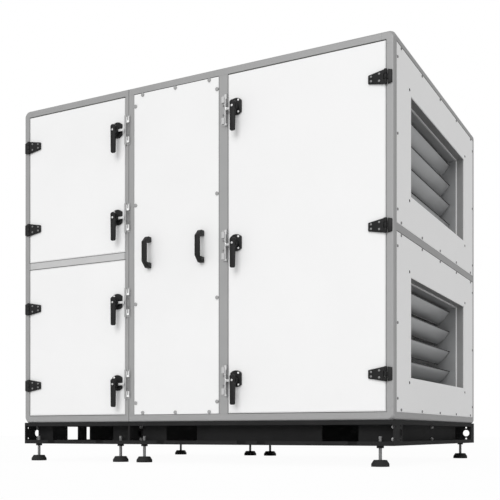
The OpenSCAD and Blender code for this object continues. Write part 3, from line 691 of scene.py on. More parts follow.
def latch_base(size, lift):
    """Latch base with flattened sides, its spindle boss at the origin, door face at y = 0."""
    ob = drum("latch_base", (0, 0, lift), FRONT, size.latch_radius, size.latch_thick, 56)
    half = size.latch_width / 2
    slice_off(ob, (half, 0, 0), RIGHT)
    slice_off(ob, (-half, 0, 0), LEFT)
    raised(ob, FRONT, BASE_RIM, BASE_DOME)
    soften(ob, BASE_ROUND, 2, 50)
    boss = turned("boss", (0, BOSS_SEAT - size.latch_thick, 0), FRONT, BOSS, 40)
    return give(join("latch_base", [ob, boss]), "moulded_plastic")


def lever_grip(size):
    """Rounded lever, spindle at the origin, door face at y = 0."""
    wide, low = size.lever_width / 2, -size.lever_drop
    ob = block("lever", (-wide, LEVER_FRONT, low), (wide, LEVER_BACK, 0))
    taper(ob, -UP, LEVER_END, (0, LEVER_END_Y, low))
    rounded(ob, lambda a, b: abs(a.x - b.x) < SAME_PLACE
            and abs(a.z - b.z) < SAME_PLACE and a.z < LOWER_HALF, LEVER_CORNER)
    soften(ob, LEVER_ROUND, 3, 40)
    top = size.lever_top - size.hub_radius
    hub = drum("hub", (0, HUB_BACK, top), FRONT, size.hub_radius, HUB_DEPTH, 40)
    taper(hub, FRONT, HUB_END, (0, HUB_BACK - HUB_DEPTH, top))
    soften(hub, HUB_ROUND, 3)
    side = size.hub_radius - CHEEK_SIDE
    cheek = block("cheek", (-side, CHEEK_FRONT, CHEEK_LOW), (side, CHEEK_BACK, top))
    taper(cheek, -UP, CHEEK_FOOT, (0, 0, CHEEK_LOW))
    soften(cheek, HUB_ROUND, 3)
    neck = turned("neck", (0, NECK_BACK, 0), FRONT, NECK, 40)
    return give(join("lever", [ob, hub, cheek, neck]), "moulded_plastic")


def latch_tongue(size):
    """Steel tongue with its roller and the spindle end, reaching toward +X."""
    end = size.tongue_reach
    bar = block("tongue", (TONGUE_ROOT, TONGUE_FRONT, -TONGUE_HALF),
                (end - TONGUE_SHORT, TONGUE_BACK, TONGUE_HALF))
    taper(bar, RIGHT, TONGUE_END, (end, TONGUE_MIDDLE, 0))
    soften(bar, TONGUE_ROUND, 2)
    radius, tall, _ = ROLLER
    at = (end - radius, TONGUE_MIDDLE, -tall / 2)
    roller = turned("roller", at, UP, ROLLER, 24)
    cap = turned("spindle_end", (0, CAP_BACK, 0), FRONT, SPINDLE_CAP, 24)
    return give(join("tongue", [bar, roller, cap]), "bright_zinc")


class AIRUNIT_OT_latches(Operator):
    """Model the latch bases, levers and tongues"""
    bl_idname = "airunit.latches"
    bl_label = "Latches"

    def execute(self, context):
        size = context.scene.air_unit_sizes
        lift = context.scene.air_unit_latch_offset
        face_y = door_face()
        base, handle, tongue = latch_base(size, lift), lever_grip(size), latch_tongue(size)
        for door, (fittings, levers, way) in DOORS.items():
            bases, spots = [], []
            for lever in levers:
                spot = joint_place(f"{lever}_turn")
                at = shift(spot.x, face_y, spot.z)
                bases.append(copy_at(base, at @ flipped(way)))
                piece(f"{lever}_grip", [copy_at(handle, at)], lever, "black_plastic", lever)
                piece(f"{lever}_tongue", [copy_at(tongue, at @ flipped(way))], lever, "zinc")
                for up in (LATCH_SCREW_UP, -LATCH_SCREW_UP):
                    spots.append((spot.x - way * LATCH_SCREW_SIDE, face_y - size.latch_thick,
                                  spot.z + lift + up))
            piece(f"{door}_latch_bases", bases, door, "black_plastic", fittings)
            screws(f"{door}_latch_screws", size.small_screw, spots, door, "bright_lip", False)
        for master in (base, handle, tongue):
            drop(master)
        return {"FINISHED"}


# Of each box: from and to across the keeper from its door's side, before the door, and up.
INLAY = ((0.0095, 0.0255), (0.0042, 0.0029), (-0.031, 0.031))
CAP = ((0.0120, 0.0256), (0.0098, 0.0089), (-0.013, 0.013))
NOTCH = ((0.0168, 0.0208), (0.0120, 0.0040), (-0.004, 0.020))
# The next box is a dark box in the notch of each cap by the left doors: painted shade.
NOTCH_SHADE = ((0.0166, 0.0210), (0.0096, 0.0088), (-0.0042, 0.0128))
# The next box is a dark strip beside the lip of the right door's keeper, painted shade on the lip's side. The one
# after is a near white strip on the lip's front edge, a painted highlight.
LIP_SIDE_SHADE = ((0.0052, 0.0003), (0.0109, 0.0097), (-0.058, 0.046))
LIP_EDGE_HIGHLIGHT = ((0.0088, 0.0055), (0.0110, 0.0097), (-0.0655, 0.0655))
INLAY_EDGE, NOTCH_SHADE_EDGE = 0.0004, 0.0002
CAP_RIM, CAP_SINK, CAP_UP = 0.002, 0.0005, 0.045
SCREW_ACROSS, SCREW_OUT, SCREW_UP = 0.0175, 0.0042, 0.020


def keeper_box(box, at, way):
    """The two corners of a box from a place on the door's side of a keeper."""
    return [at + Vector((way * across, -out, up)) for across, out, up in zip(*box)]


def clip_cap(at, way):
    """Notched cap of a clip: near white as a painted highlight by the left doors, light grey by the right door."""
    cap = block("clip_cap", *keeper_box(CAP, at, way))
    raised(cap, FRONT, CAP_RIM, -CAP_SINK)
    carve(cap, block("notch", *keeper_box(NOTCH, at, way)))
    # Near white by the left doors as a painted highlight.
    return give(cap, "bright_lip" if way > 0 else "light_profile")


class AIRUNIT_OT_keepers(Operator):
    """Model the inlays, clip caps, rail trim and screws of the latch keepers, with painted highlights and painted
    shade on them
    """
    bl_idname = "airunit.keepers"
    bl_label = "Keepers"

    def execute(self, context):
        size = context.scene.air_unit_sizes
        low, high = box_of("latch_keepers")
        spots, inlays, caps = [], [], []
        for _, levers, way in DOORS.values():
            edge = low.x if way > 0 else high.x
            for lever in levers:
                at = Vector((edge, door_face(), joint_place(f"{lever}_turn").z))
                # The inlays by the left doors are a darker grey as painted shade inside the bracket.
                inlays.append(trim("inlay", *keeper_box(INLAY, at, way),
                                   "grey_screw" if way > 0 else "grey_profile", INLAY_EDGE))
                if way < 0:
                    # Painted shade beside the lip and a painted highlight on its front edge.
                    inlays.append(trim("groove", *keeper_box(LIP_SIDE_SHADE, at, way), "dark_groove"))
                    caps.append(trim("ridge", *keeper_box(LIP_EDGE_HIGHLIGHT, at, way), "bright_lip"))
                for up in (CAP_UP, -CAP_UP):
                    clip = at + UP * up
                    caps.append(clip_cap(clip, way))
                    if way > 0:
                        # Painted shade: a dark box in the cap's notch.
                        inlays.append(trim("slit", *keeper_box(NOTCH_SHADE, clip, way),
                                           "dark_groove", NOTCH_SHADE_EDGE))
                for up in (SCREW_UP, -SCREW_UP):
                    spots.append(at + Vector((way * SCREW_ACROSS, -SCREW_OUT, up)))
        piece("keeper_inlays", inlays, "casing", "black_plastic")
        piece("keeper_clip_caps", caps, "casing", "zinc")
        screws("keeper_screws", size.small_screw, spots, "casing")
        return {"FINISHED"}


BOW_WIDE, BOW_CUT, BOW_ROUND = 0.022, 0.026, 0.0030
GAP_FRONT, GAP_END, GAP_SIDE, GAP_BACK, GAP_ROUND = 0.014, 0.024, 0.01, 0.02, 0.003


class AIRUNIT_OT_bow_handles(Operator):
    """Model the two bow handles on the middle panel"""
    bl_idname = "airunit.bow_handles"
    bl_label = "Bow handles"

    def execute(self, context):
        low, high = box_of("bow_handles")
        handles = []
        for left_x in (low.x, high.x - BOW_WIDE):
            a = Vector((left_x, low.y, low.z))
            b = Vector((left_x + BOW_WIDE, door_face(), high.z))
            ob = block("bow", a, b)
            slice_off(ob, (0, a.y, b.z - BOW_CUT), (0, -1, 1))
            slice_off(ob, (0, a.y, a.z + BOW_CUT), (0, -1, -1))
            gap = block("finger_gap", a + Vector((-GAP_SIDE, GAP_FRONT, GAP_END)),
                        b + Vector((GAP_SIDE, GAP_BACK, -GAP_END)))
            soften(gap, GAP_ROUND, 2)
            carve(ob, gap)
            soften(ob, BOW_ROUND, 3, 25)
            handles.append(give(ob, "moulded_plastic"))
        piece("bow_handle_grips", handles, "casing", "black_plastic", "bow_handles")
        return {"FINISHED"}


SCREW_INSET = 0.0095
FRONT_COLUMN, FRONT_STEP = (0.0369, 0.3449, 0.6530, 0.9618), 0.1715
# Shares of a panel's width and height.
END_ROW = (0.044, 0.272, 0.4975, 0.7285, 0.9595)
BACK_ROW, SIDE_COLUMN = (0.09, 0.5, 0.91), (0.076, 0.494, 0.917)


def rim_places(low, high, row):
    """Places along the rim of a panel, each as a distance along it and a height."""
    wide, tall = high[0] - low[0], high[1] - low[1]
    places = [(low[0] + share * wide, z)
              for share in row for z in (low[1] + SCREW_INSET, high[1] - SCREW_INSET)]
    places += [(along, low[1] + share * tall) for share in SIDE_COLUMN
               for along in (low[0] + SCREW_INSET, high[0] - SCREW_INSET)]
    return places


def rim_screws(size, middle_bay):
    """Screws of the end panels and of the back panels in their bays and storeys."""
    low, high = box_of("back_panels")
    bays = ((low.x, box_of("upper_left_door")[1].x), middle_bay,
            (box_of("right_door")[0].x, high.x))
    ends, behind = [], []
    for panel in END_PANELS:
        a, b = box_of(panel)
        ends += [(b.x, y, z) for y, z in rim_places((a.y, a.z), (b.y, b.z), END_ROW)]
        for left, right in bays:
            behind += [(x, high.y, z) for x, z in rim_places((left, a.z), (right, b.z), BACK_ROW)]
    others = [(-x, y, z) for x, y, z in ends]
    radius = size.screw_radius * END_SCREW
    screws("right_end_screws", radius, ends, "casing", "dark_screw", normal=RIGHT)
    screws("left_end_screws", radius, others, "casing", "dark_screw", normal=LEFT)
    screws("back_panel_screws", size.screw_radius, behind, "casing", "panel_screw", False, BACK)


class AIRUNIT_OT_panel_screws(Operator):
    """Model the screws that hold the fixed panels"""
    bl_idname = "airunit.panel_screws"
    bl_label = "Panel screws"

    def execute(self, context):
        size = context.scene.air_unit_sizes
        low, high = box_of("middle_front_panel")
        inset, tall, middle = SCREW_INSET, high.z - low.z, (low.x + high.x) / 2
        spots = [(x, low.y, low.z + share * tall) for share in FRONT_COLUMN
                 for x in (low.x + inset, high.x - inset)]
        spots += [(middle + step, low.y, z) for step in (-FRONT_STEP, 0.0, FRONT_STEP)
                  for z in (low.z + inset, high.z - inset)]
        screws("middle_panel_screws", size.screw_radius, spots, "casing", "panel_screw", False)
        rim_screws(size, (low.x, high.x))
        return {"FINISHED"}


SEAL_MARGIN, SEAL_BACK, SEAL_THICK, SEAL_ROUND = 0.002, 0.0122, 0.0042, 0.0012
RIM_FRONT, RIM_BACK, RIM_PLAY, RIM_ROUND = 0.0006, 0.0100, 0.0002, 0.0004
RAIL_MARGIN, RAIL_PROUD, RAIL_DEPTH = 0.0030, 0.0004, 0.0030
STRIP_MARGIN, STRIP_PROUD, STRIP_DEPTH = 0.001, 0.0003, 0.0020
STRIP_OVER, STRIP_LIFT = 0.0004, 0.0006


def door_seal(door, low, high, width):
    """Black seal behind the flange of a door."""
    fresh()
    bpy.ops.mesh.primitive_plane_add(size=1, rotation=(math.pi / 2, 0, 0))
    seal = settle("seal")
    activate(seal)
    bpy.ops.transform.resize(value=(high.x - low.x - 2 * SEAL_MARGIN, 1,
                                    high.z - low.z - 2 * SEAL_MARGIN))
    bpy.ops.transform.translate(value=((low.x + high.x) / 2, low.y + SEAL_BACK,
                                       (low.z + high.z) / 2))
    settle("seal")
    choose(seal, every)
    bpy.ops.mesh.inset(thickness=width)
    bpy.ops.mesh.delete(type="FACE")
    done()
    apply_modifier(seal, "SOLIDIFY", thickness=SEAL_THICK, offset=-1.0)
    soften(seal, SEAL_ROUND, 2)
    give(seal, "black_rubber")
    piece(f"{door}_seal", [seal], door, "black_plastic")


def edge_seal(door, low, high, reach, top):
    """Pale seal round the rim of a door."""
    seal = sleeve("rim", (low.x - reach, low.y + RIM_FRONT, low.z - reach),
                  (high.x + reach, low.y + RIM_BACK, high.z + top), reach - RIM_PLAY, FRONT)
    soften(seal, RIM_ROUND, 2)
    give(seal, "pale_rubber")
    piece(f"{door}_edge_seal", [seal], door, "white_paint")


def gap_shade_strips(tall):
    """Black strips as painted shade in the gaps over the fixed panels that show, and beside the front one."""
    low, high = box_of("middle_front_panel")
    margin, proud, deep = STRIP_MARGIN, STRIP_PROUD, STRIP_DEPTH
    under, over = STRIP_LIFT - tall, STRIP_OVER
    front, back = low.y - proud, low.y + deep
    boxes = [((low.x + margin, front, high.z + under),
              (high.x - margin, back, high.z + over)),
             ((high.x - tall / 2, front, low.z + margin),
              (high.x + proud, back, high.z - tall))]
    for panel in END_PANELS:
        low, high = box_of(panel)
        boxes.append(((high.x - deep, low.y + margin, high.z + under),
                      (high.x + proud, high.y - margin, high.z + over)))
    # Painted shade: black strips over the gaps.
    strips = [trim("gasket", *corners, "black_rubber") for corners in boxes]
    piece("panel_gaskets", strips, "casing", "black_plastic")


def rail_face(reach):
    """Lighter face of the rail between the two left doors."""
    over, under = box_of("upper_left_door")[0], box_of("lower_left_door")[1]
    front = box_of("left_frame")[0].y
    face = trim("middle_rail_face", (over.x, front - RAIL_PROUD, under.z + reach),
                (under.x, front + RAIL_DEPTH, over.z - reach), "light_profile")
    piece("middle_rail_face", [face], "casing", "frame")


class AIRUNIT_OT_seals(Operator):
    """Model the seals of the doors, the painted shade strips in the panels' gaps and the middle rail's face"""
    bl_idname = "airunit.seals"
    bl_label = "Seals"

    def execute(self, context):
        size = context.scene.air_unit_sizes
        for door in DOORS:
            low, high = box_of(door)
            door_seal(door, low, high, size.seal_width)
            top = size.edge_reach if door == "lower_left_door" else size.edge_top
            edge_seal(door, low, high, size.edge_reach, top)
        gap_shade_strips(size.gap_shade_width)
        rail_face(size.edge_reach + RAIL_MARGIN)
        return {"FINISHED"}


THREAD_CREST, THREAD_ROOT = 0.0069, 0.0061
NUT_Z, NUT = 0.071, (0.0149, 0.010, 0.0009)  # radius, height and rounding
FOOT_WIDE, FOOT_DEEP = 0.015, 0.013  # of a CAD foot's nut
INNER_FOOT = 0.065                   # from the inner end of a base module


def foot_places(low, high):
    """Middles of the feet, from the boxes of the studs and the base."""
    columns = (low.x + FOOT_WIDE, box_of("left_base_frame")[1].x - INNER_FOOT,
               box_of("right_base_frame")[0].x + INNER_FOOT, high.x - FOOT_WIDE)
    return [(x, y) for x in columns for y in (low.y + FOOT_DEEP, high.y - FOOT_DEEP)]


class AIRUNIT_OT_feet(Operator):
    """Model the threaded studs and nuts of the feet"""
    bl_idname = "airunit.feet"
    bl_label = "Feet"

    def execute(self, context):
        size = context.scene.air_unit_sizes
        pitch = size.thread_pitch
        low, high = box_of("foot_studs")
        fresh()
        bpy.ops.mesh.primitive_cone_add(vertices=20, radius1=THREAD_CREST,
                                        radius2=THREAD_ROOT, depth=pitch / 2,
                                        end_fill_type="NOTHING", location=(0, 0, pitch / 4))
        thread = settle("thread")
        apply_modifier(thread, "MIRROR", use_axis=(False, False, True), merge_threshold=WELD_REACH)
        apply_modifier(thread, "ARRAY", count=int((high.z - low.z) / pitch),
                       use_relative_offset=False, use_constant_offset=True,
                       constant_offset_displace=(0, 0, pitch))
        nut = turned("nut", (0, 0, NUT_Z - low.z), UP, NUT, 6)
        give(thread, "stud_steel")
        give(nut, "moulded_plastic")
        stud = join("stud", [thread, nut])
        studs = [copy_at(stud, shift(x, y, low.z + pitch / 2)) for x, y in foot_places(low, high)]
        drop(stud)
        piece("foot_threads", studs, "casing", "zinc", "foot_studs")
        return {"FINISHED"}


BOLT_UP, COLLAR_SHARE = 0.0015, 1.15
BOLT_HEAD, BOLT_COLLAR = (0.0065, 0.0008), (0.0018, 0.0004)  # height and rounding
WEB_IN = 0.056  # webs of the rails behind their lips
# Places of the pairs of bolts, and how far each bolt is over or under the rail's middle.
FRONT_IN, FRONT_UP = 0.021, 0.025
SIDE_ALONG, SIDE_UP = 0.724, 0.0275
PLATE_IN, PLATE_ALONG, PLATE_UP = 0.0043, 0.085, 0.028


class AIRUNIT_OT_base_bolts(Operator):
    """Model the hexagon bolts of the base rails"""
    bl_idname = "airunit.base_bolts"
    bl_label = "Base bolts"

    def execute(self, context):
        radius = context.scene.air_unit_sizes.bolt_radius
        head = turned("bolt", (0, 0, BOLT_UP), UP, (radius, *BOLT_HEAD), 6)
        collar = turned("collar", (0, 0, 0), UP, (radius * COLLAR_SHARE, *BOLT_COLLAR), 28, 1)
        bolt = give(join("bolt", [head, collar]), "dull_zinc")
        low, high = box_of("right_base_frame")
        middle = (low.z + high.z) / 2
        pairs = [(high.x - FRONT_IN, low.y + WEB_IN, FRONT_UP, FRONT),
                 (high.x - WEB_IN, low.y + SIDE_ALONG, SIDE_UP, RIGHT)]
        for end in (low.x, box_of("left_base_frame")[0].x):
            pairs.append((end + PLATE_IN, low.y + PLATE_ALONG, PLATE_UP, RIGHT))
        bolts = [copy_at(bolt, place((x, y, z), normal))
                 for x, y, up, normal in pairs for z in (middle + up, middle - up)]
        drop(bolt)
        piece("base_rail_bolts", bolts, "casing", "zinc")
        return {"FINISHED"}


BUSH_RADIUS, BUSH_TALL, BUSH_SEAT = 0.0105, 0.0026, 0.0006
BUSH_RIM, BUSH_RISE = 0.003, 0.0014
OPENING_PLAY, PANEL_PLAY = 0.0002, 0.0003
# The last of these is the depth of the band at the top of a duct lining that gets a darker grey as painted shade.
LINING_GAP, LINING_THICK, PAINTED_SOFFIT_SHADE = 0.0005, 0.0010, 0.0020
# The top of each damper lip, LIP_TOP times its width, gets a darker grey as painted shade.
LIP_ROUND, LIP_TOP = 0.0008, 1.4  # the shaded top, as a share of the lip's width
SHEET_LAP, SHEET_THICK = 0.0003, 0.0008
HOLE_SKIN, RIM_SINK, RIM_TALL, BORE_SINK, BORE_TALL = 0.0003, 0.0002, 0.0009, 0.001, 0.003
BODY_SHARE = 0.43  # half width of a blade's body, as a share of its chord
# Of each step of a blade's rounded end: share of its length, and scale across and up.
NOSE = ((0.45, 0.96, 0.90), (0.35, 0.90, 0.72), (0.20, 0.82, 0.45))
PIN_RADIUS, PIN_ROUND = 0.005, 0.0008
RUBBER_RADIUS, RUBBER_END, RUBBER_ROUND = 0.0022, 0.013, 0.0006


def bushes():
    """Bushes at both ends of the right blades' pins."""
    bush = drum("bush", (0, 0, 0), UP, BUSH_RADIUS, BUSH_TALL, 24)
    raised(bush, UP, BUSH_RIM, BUSH_RISE)
    give(bush, "moulded_plastic")
    copies = []
    for name in BLADES:
        spot = joint_place(f"{name}_turn")
        low, high = box_of(name)
        for y, way in ((low.y + BUSH_SEAT, BACK), (high.y - BUSH_SEAT, FRONT)):
            copies.append(copy_at(bush, place((spot.x, y, spot.z), way)))
    drop(bush)
    piece("blade_bushes", copies, "casing", "black_plastic")


def shade_top(ob, height, surface):
    """Gives the faces over a height a second, darker surface: painted shade on the top of a piece."""
    ob.data.materials.append(surface_of(surface))
    choose(ob, lambda centre, normal: centre.z > height)
    ob.active_material_index = 1
    bpy.ops.object.material_slot_assign()
    done()


def openings(size):
    """Dark lining, bright lip and bolt holes of the four duct openings, with painted shade on the tops of the
    lining and the lip and inside the bolt holes.
    """
    linings, lips = [], []
    hole = duct_hole(size)
    outer = box_of(END_PANELS[0])[1].x
    over = size.flange_over - OPENING_PLAY
    for side in ("upper", "lower"):
        a, b = box_of(f"{side}_damper_frame")
        low = Vector((outer - size.panel_depth + PANEL_PLAY, a.y + over, a.z + over))
        high = Vector((outer - size.white_edge, b.y - over, b.z - over))
        step = low.x + size.lip_depth
        lining = sleeve("lining", (step + LINING_GAP, low.y, low.z), high, LINING_THICK)
        give(lining, "reveal_sheet")
        # Painted shade: the top band of the lining gets the darker screw grey.
        shade_top(lining, high.z - PAINTED_SOFFIT_SHADE, "grey_screw")
        lip = sleeve("lip", low, (step, high.y, high.z), size.lip_width)
        soften(lip, LIP_ROUND, 2)
        inner = Vector((0, 1, 1)) * (size.lip_width - SHEET_LAP)
        sheet = sleeve("sheet", low + inner - RIGHT * size.lip_sheet,
                       Vector((low.x, high.y, high.z)) - inner, SHEET_THICK)
        for bright in (lip, sheet):
            give(bright, "bright_lip")
        lip = join("lip", [lip, sheet])
        # Painted shade: the top of the lip gets the light frame grey, which is darker than the bright lip.
        shade_top(lip, high.z - size.lip_width * LIP_TOP, "light_profile")
        linings += [lining, copy_at(lining, flipped(-1))]
        lips += [lip, copy_at(lip, flipped(-1))]
        for y in (low.y - size.hole_side, high.y + size.hole_side):
            for z in (low.z - size.hole_over, high.z + size.hole_over):
                linings += [copy_at(hole, place((outer, y, z), RIGHT)),
                            copy_at(hole, place((-outer, y, z), LEFT))]
    drop(hole)
    piece("duct_linings", linings, "casing", "damper_sheet")
    piece("damper_lips", lips, "casing", "damper_sheet")


def duct_hole(size):
    """Dark rim and lining of an open bolt hole, down from the panel's face at z = 0; the black lining is painted
    shade inside the hole.
    """
    # Painted shade: a black tube lines the bore.
    ob = drum("hole", (0, 0, -size.hole_depth), UP, size.hole_radius, size.hole_depth, 24)
    opened(ob, facing(UP))
    apply_modifier(ob, "SOLIDIFY", thickness=HOLE_SKIN, offset=-1.0)
    rim = turned("rim", (0, 0, -RIM_SINK), UP, (size.hole_rim, RIM_TALL, THIN_EDGE), 28, 1)
    carve(rim, drum("bore", (0, 0, -BORE_SINK), UP, size.hole_radius - HOLE_SKIN, BORE_TALL, 24))
    return give(join("hole", [ob, rim]), "black_rubber")


def blade(size):
    """A blade with round ends, its pin on the Y axis, flat in the XY plane."""
    low, high = box_of(BLADES[0])
    a, b = box_of("upper_damper_frame")
    chord = (high.x - low.x) * math.sqrt(2) - size.blade_edge
    half = (b.y - a.y) / 2 - size.flange_over - size.lip_width - size.blade_gap
    flat, wide = half - size.blade_nose, chord * BODY_SHARE
    body = drum("blade", (0, -flat, 0), BACK, wide, 2 * flat, 48)
    choose(body, every)
    bpy.ops.transform.resize(value=(1, 1, size.blade_thick / 2 / wide), center_override=(0, 0, 0))
    done()
    for way in (FRONT, BACK):
        choose(body, facing(way))
        for share, narrow, thin in NOSE:
            bpy.ops.mesh.extrude_region_move(
                TRANSFORM_OT_translate={"value": way * share * size.blade_nose})
            bpy.ops.transform.resize(value=(narrow, 1, thin), center_override=way * half)
        done()
    thin = size.blade_edge / 2
    edge = block("edge", (-chord / 2, -half, -thin), (chord / 2, half, thin))
    rounded(edge, lambda p, q: abs(p.z - q.z) > thin, size.blade_nose)
    long = high.y - low.y
    pin = turned("pin", (0, -long / 2, 0), BACK, (PIN_RADIUS, long, PIN_ROUND), 24, 1)
    return give(join("blade", [body, edge, pin]), "damper_metal")


def blades(size):
    """Round-ended blades on their pins, and those of the left end mirrored."""
    master = blade(size)
    tilt = Matrix.Rotation(-math.pi / 4, 4, "Y")
    left = []
    for name in BLADES:
        at = Matrix.Translation(joint_place(f"{name}_turn")) @ tilt
        piece(f"{name}_body", [copy_at(master, at)], name, "blade", name)
        left.append(copy_at(master, flipped(-1) @ at))
    piece("left_blade_bodies", left, "casing", "blade", "left_damper_blades")
    drop(master)


def blade_lips():
    """Rubber lip along the two edges of each right blade."""
    radius, end = RUBBER_RADIUS, RUBBER_END
    for name in BLADES:
        low, high = box_of(name)
        edges = []
        for x, z in ((high.x - radius, high.z - radius), (low.x + radius, low.z + radius)):
            lip = turned("blade_lip", (x, low.y + end, z), BACK,
                         (radius, high.y - low.y - 2 * end, RUBBER_ROUND), 12, 1)
            edges.append(give(lip, "black_rubber"))
        piece(f"{name}_lips", edges, name, "black_plastic")


class AIRUNIT_OT_dampers(Operator):
    """Model the bushes, blades and lips of the dampers and the lining of the duct openings"""
    bl_idname = "airunit.dampers"
    bl_label = "Dampers"

    def execute(self, context):
        size = context.scene.air_unit_sizes
        bushes()
        openings(size)
        blades(size)
        blade_lips()
        return {"FINISHED"}


EDGE_WIDTHS = {
    **dict.fromkeys(DOORS, 0.0015),
    **dict.fromkeys(("middle_front_panel", *END_PANELS), 0.0008),
    "latch_keepers": 0.0006, "foot_pads": 0.0012,
}
EDGE_WELD, EDGE_ANGLE = 0.00002, 50.0


class AIRUNIT_OT_edges(Operator):
    """Round the long edges of the CAD nodes with live modifiers"""
    bl_idname = "airunit.edges"
    bl_label = "Edges"

    def execute(self, context):
        for name, width in EDGE_WIDTHS.items():
            ob = frame["nodes"][name]
            weld = ob.modifiers.new("weld", "WELD")
            weld.merge_threshold = EDGE_WELD
            bevel = ob.modifiers.new("edge", "BEVEL")
            bevel.width = width
            bevel.segments = 2
            bevel.limit_method = "ANGLE"
            bevel.angle_limit = math.radians(EDGE_ANGLE)
            bevel.harden_normals = True
        return {"FINISHED"}


# ---- stage

FLOOR_SIZE, FLOOR_Z, FLOOR_ROUGHNESS = 60.0, -0.0005, 0.9
FLOOR_GREY, FLOOR_GRAIN, FLOOR_SPREAD = (0.92, 0.92, 0.92), 6.0, 0.006
FLOOR_GLOW = 0.96  # share of plain white that the camera sees
SKY_LIGHT = 0.59
SUN_TOWARD, SUN_STRENGTH, SUN_SOFTNESS, SUN_Z = (-0.05, 0.86, -0.48), 1.25, 40.0, 5
CAMERA_AT = (1.0215, -3.1662, 0.130)  # from the foot of the unit's near corner
CAMERA_TURN, CAMERA_RISE = 27.45, 0.21435
CAMERA_SENSOR, CAMERA_LENS, CAMERA_FAR = 36.0, 61.57, 200.0


def mixed(tree, share, unseen, seen, output):
    """Shows the camera one shader and the light another, by a share."""
    mix = node(tree, "MixShader", Fac=share)
    tree.links.new(unseen, mix.inputs[1])
    tree.links.new(seen, mix.inputs[2])
    tree.links.new(mix.outputs["Shader"], tree.nodes[output].inputs["Surface"])


def add_floor():
    """Pale floor that keeps the shadow of the unit."""
    fresh()
    bpy.ops.mesh.primitive_plane_add(size=FLOOR_SIZE, location=(0, 0, FLOOR_Z))
    floor = settle("studio_floor")
    tree, shader = new_surface("studio_floor", FLOOR_GREY, FLOOR_ROUGHNESS)
    shader.inputs["Specular IOR Level"].default_value = 0.0
    grain = tinted(tree, object_noise(tree, FLOOR_GRAIN), FLOOR_GREY, FLOOR_SPREAD)
    tree.links.new(grain, shader.inputs["Base Color"])
    glow = node(tree, "Emission", Strength=1.0).outputs["Emission"]
    share = node(tree, "Math")
    share.operation = "MULTIPLY"
    share.inputs[1].default_value = FLOOR_GLOW
    tree.links.new(node(tree, "LightPath").outputs["Is Camera Ray"], share.inputs[0])
    mixed(tree, share.outputs[0], shader.outputs["BSDF"], glow, "Material Output")
    give(floor, "studio_floor")


def add_sky(scene):
    """White behind the unit, a softer grey as its light."""
    world = bpy.data.worlds.new("studio_sky")
    world.use_nodes = True
    scene.world = world
    tree = world.node_tree
    white = (1, 1, 1, 1)
    seen = node(tree, "Background", Color=white, Strength=1.0)
    light = node(tree, "Background", Color=white, Strength=SKY_LIGHT)
    mixed(tree, node(tree, "LightPath").outputs["Is Camera Ray"],
          light.outputs["Background"], seen.outputs["Background"], "World Output")


def add_lamp():
    """A soft sun."""
    fresh()
    bpy.ops.object.light_add(type="SUN", location=(0, 0, SUN_Z))
    lamp = bpy.context.object
    lamp.data.energy = SUN_STRENGTH
    lamp.data.angle = math.radians(SUN_SOFTNESS)
    lamp.rotation_euler = Vector(SUN_TOWARD).to_track_quat("-Z", "Y").to_euler()
    lamp.name = "soft_sun"


def add_camera(scene):
    """The photo's view: upright picture plane with a rising front.

    The carrier is stretched across the camera's diagonals, which leans the line of sight
    and leaves the picture upright. Taken off the carrier, the camera is a plain one.
    """
    low, high = box_of("right_frame")
    corner = Vector((high.x, low.y, 0))
    lean = math.atan(CAMERA_RISE)
    diagonal = math.pi / 4 + lean / 2
    fresh()
    bpy.ops.object.empty_add(type="PLAIN_AXES", location=corner + Vector(CAMERA_AT))
    carrier = bpy.context.object
    carrier.name = "camera_carrier"
    carrier.rotation_euler = (diagonal, 0, math.radians(CAMERA_TURN))
    carrier.scale = (1, math.sqrt(2) * math.sin(diagonal), math.sqrt(2) * math.cos(diagonal))
    fresh()
    bpy.ops.object.camera_add(location=(0, 0, 0), rotation=(math.pi / 4, 0, 0))
    camera = bpy.context.object
    camera.name = "photo_camera"
    camera.parent = carrier
    camera.data.sensor_width = CAMERA_SENSOR
    camera.data.lens = CAMERA_LENS / math.cos(lean)
    camera.data.clip_end = CAMERA_FAR
    scene.camera = camera


class AIRUNIT_OT_stage(Operator):
    """Set the floor, the light, the world and the camera"""
    bl_idname = "airunit.stage"
    bl_label = "Stage"

    def execute(self, context):
        scene = context.scene
        add_floor()
        add_sky(scene)
        add_lamp()
        add_camera(scene)
        scene.view_settings.view_transform = "Standard"
        return {"FINISHED"}


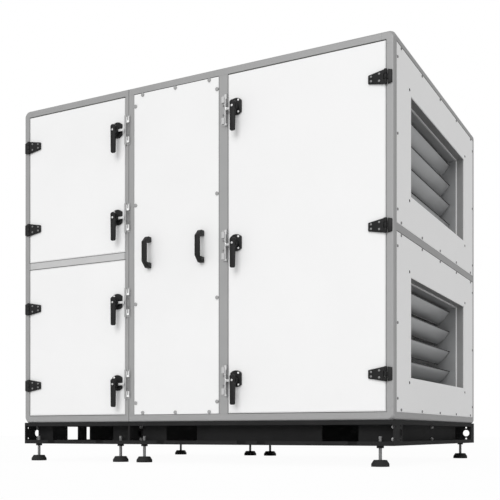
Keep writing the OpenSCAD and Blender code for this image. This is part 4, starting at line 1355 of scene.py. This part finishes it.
class AIRUNIT_PT_pieces(Panel):
    """The pieces of the unit, in building order"""
    bl_idname = "AIRUNIT_PT_pieces"
    bl_label = "Air handling unit"
    bl_space_type = "VIEW_3D"
    bl_region_type = "UI"
    bl_category = "Air Unit"

    def draw(self, context):
        for operator in OPERATORS:
            self.layout.operator(operator.bl_idname)
        for group in (context.scene.air_unit_sizes, context.scene.air_unit_colours):
            for name in group.__annotations__:
                self.layout.prop(group, name)


OPERATORS = (
    AIRUNIT_OT_surfaces, AIRUNIT_OT_hinges, AIRUNIT_OT_latches, AIRUNIT_OT_keepers,
    AIRUNIT_OT_bow_handles, AIRUNIT_OT_panel_screws, AIRUNIT_OT_seals, AIRUNIT_OT_feet,
    AIRUNIT_OT_base_bolts, AIRUNIT_OT_dampers, AIRUNIT_OT_edges, AIRUNIT_OT_stage,
)
CLASSES = (AirUnitSizes, AirUnitColours, *OPERATORS, AIRUNIT_PT_pieces)


def register():
    """Registers the classes and the scene's properties."""
    for each in CLASSES:
        bpy.utils.register_class(each)
    bpy.types.Scene.air_unit_sizes = PointerProperty(type=AirUnitSizes)
    bpy.types.Scene.air_unit_colours = PointerProperty(type=AirUnitColours)
    bpy.types.Scene.air_unit_latch_offset = FloatProperty(
        name="Latch offset", description="Height of a latch base's middle above its spindle",
        default=0.007, unit="LENGTH")


def unregister():
    """Takes the classes and the properties away again."""
    del bpy.types.Scene.air_unit_latch_offset
    del bpy.types.Scene.air_unit_colours
    del bpy.types.Scene.air_unit_sizes
    for each in reversed(CLASSES):
        bpy.utils.unregister_class(each)


def main():
    """Builds every piece."""
    register()
    bpy.ops.airunit.surfaces()
    bpy.ops.airunit.hinges()
    bpy.ops.airunit.latches()
    bpy.ops.airunit.keepers()
    bpy.ops.airunit.bow_handles()
    bpy.ops.airunit.panel_screws()
    bpy.ops.airunit.seals()
    bpy.ops.airunit.feet()
    bpy.ops.airunit.base_bolts()
    bpy.ops.airunit.dampers()
    bpy.ops.airunit.edges()
    bpy.ops.airunit.stage()


if __name__ == "__main__":
    main()
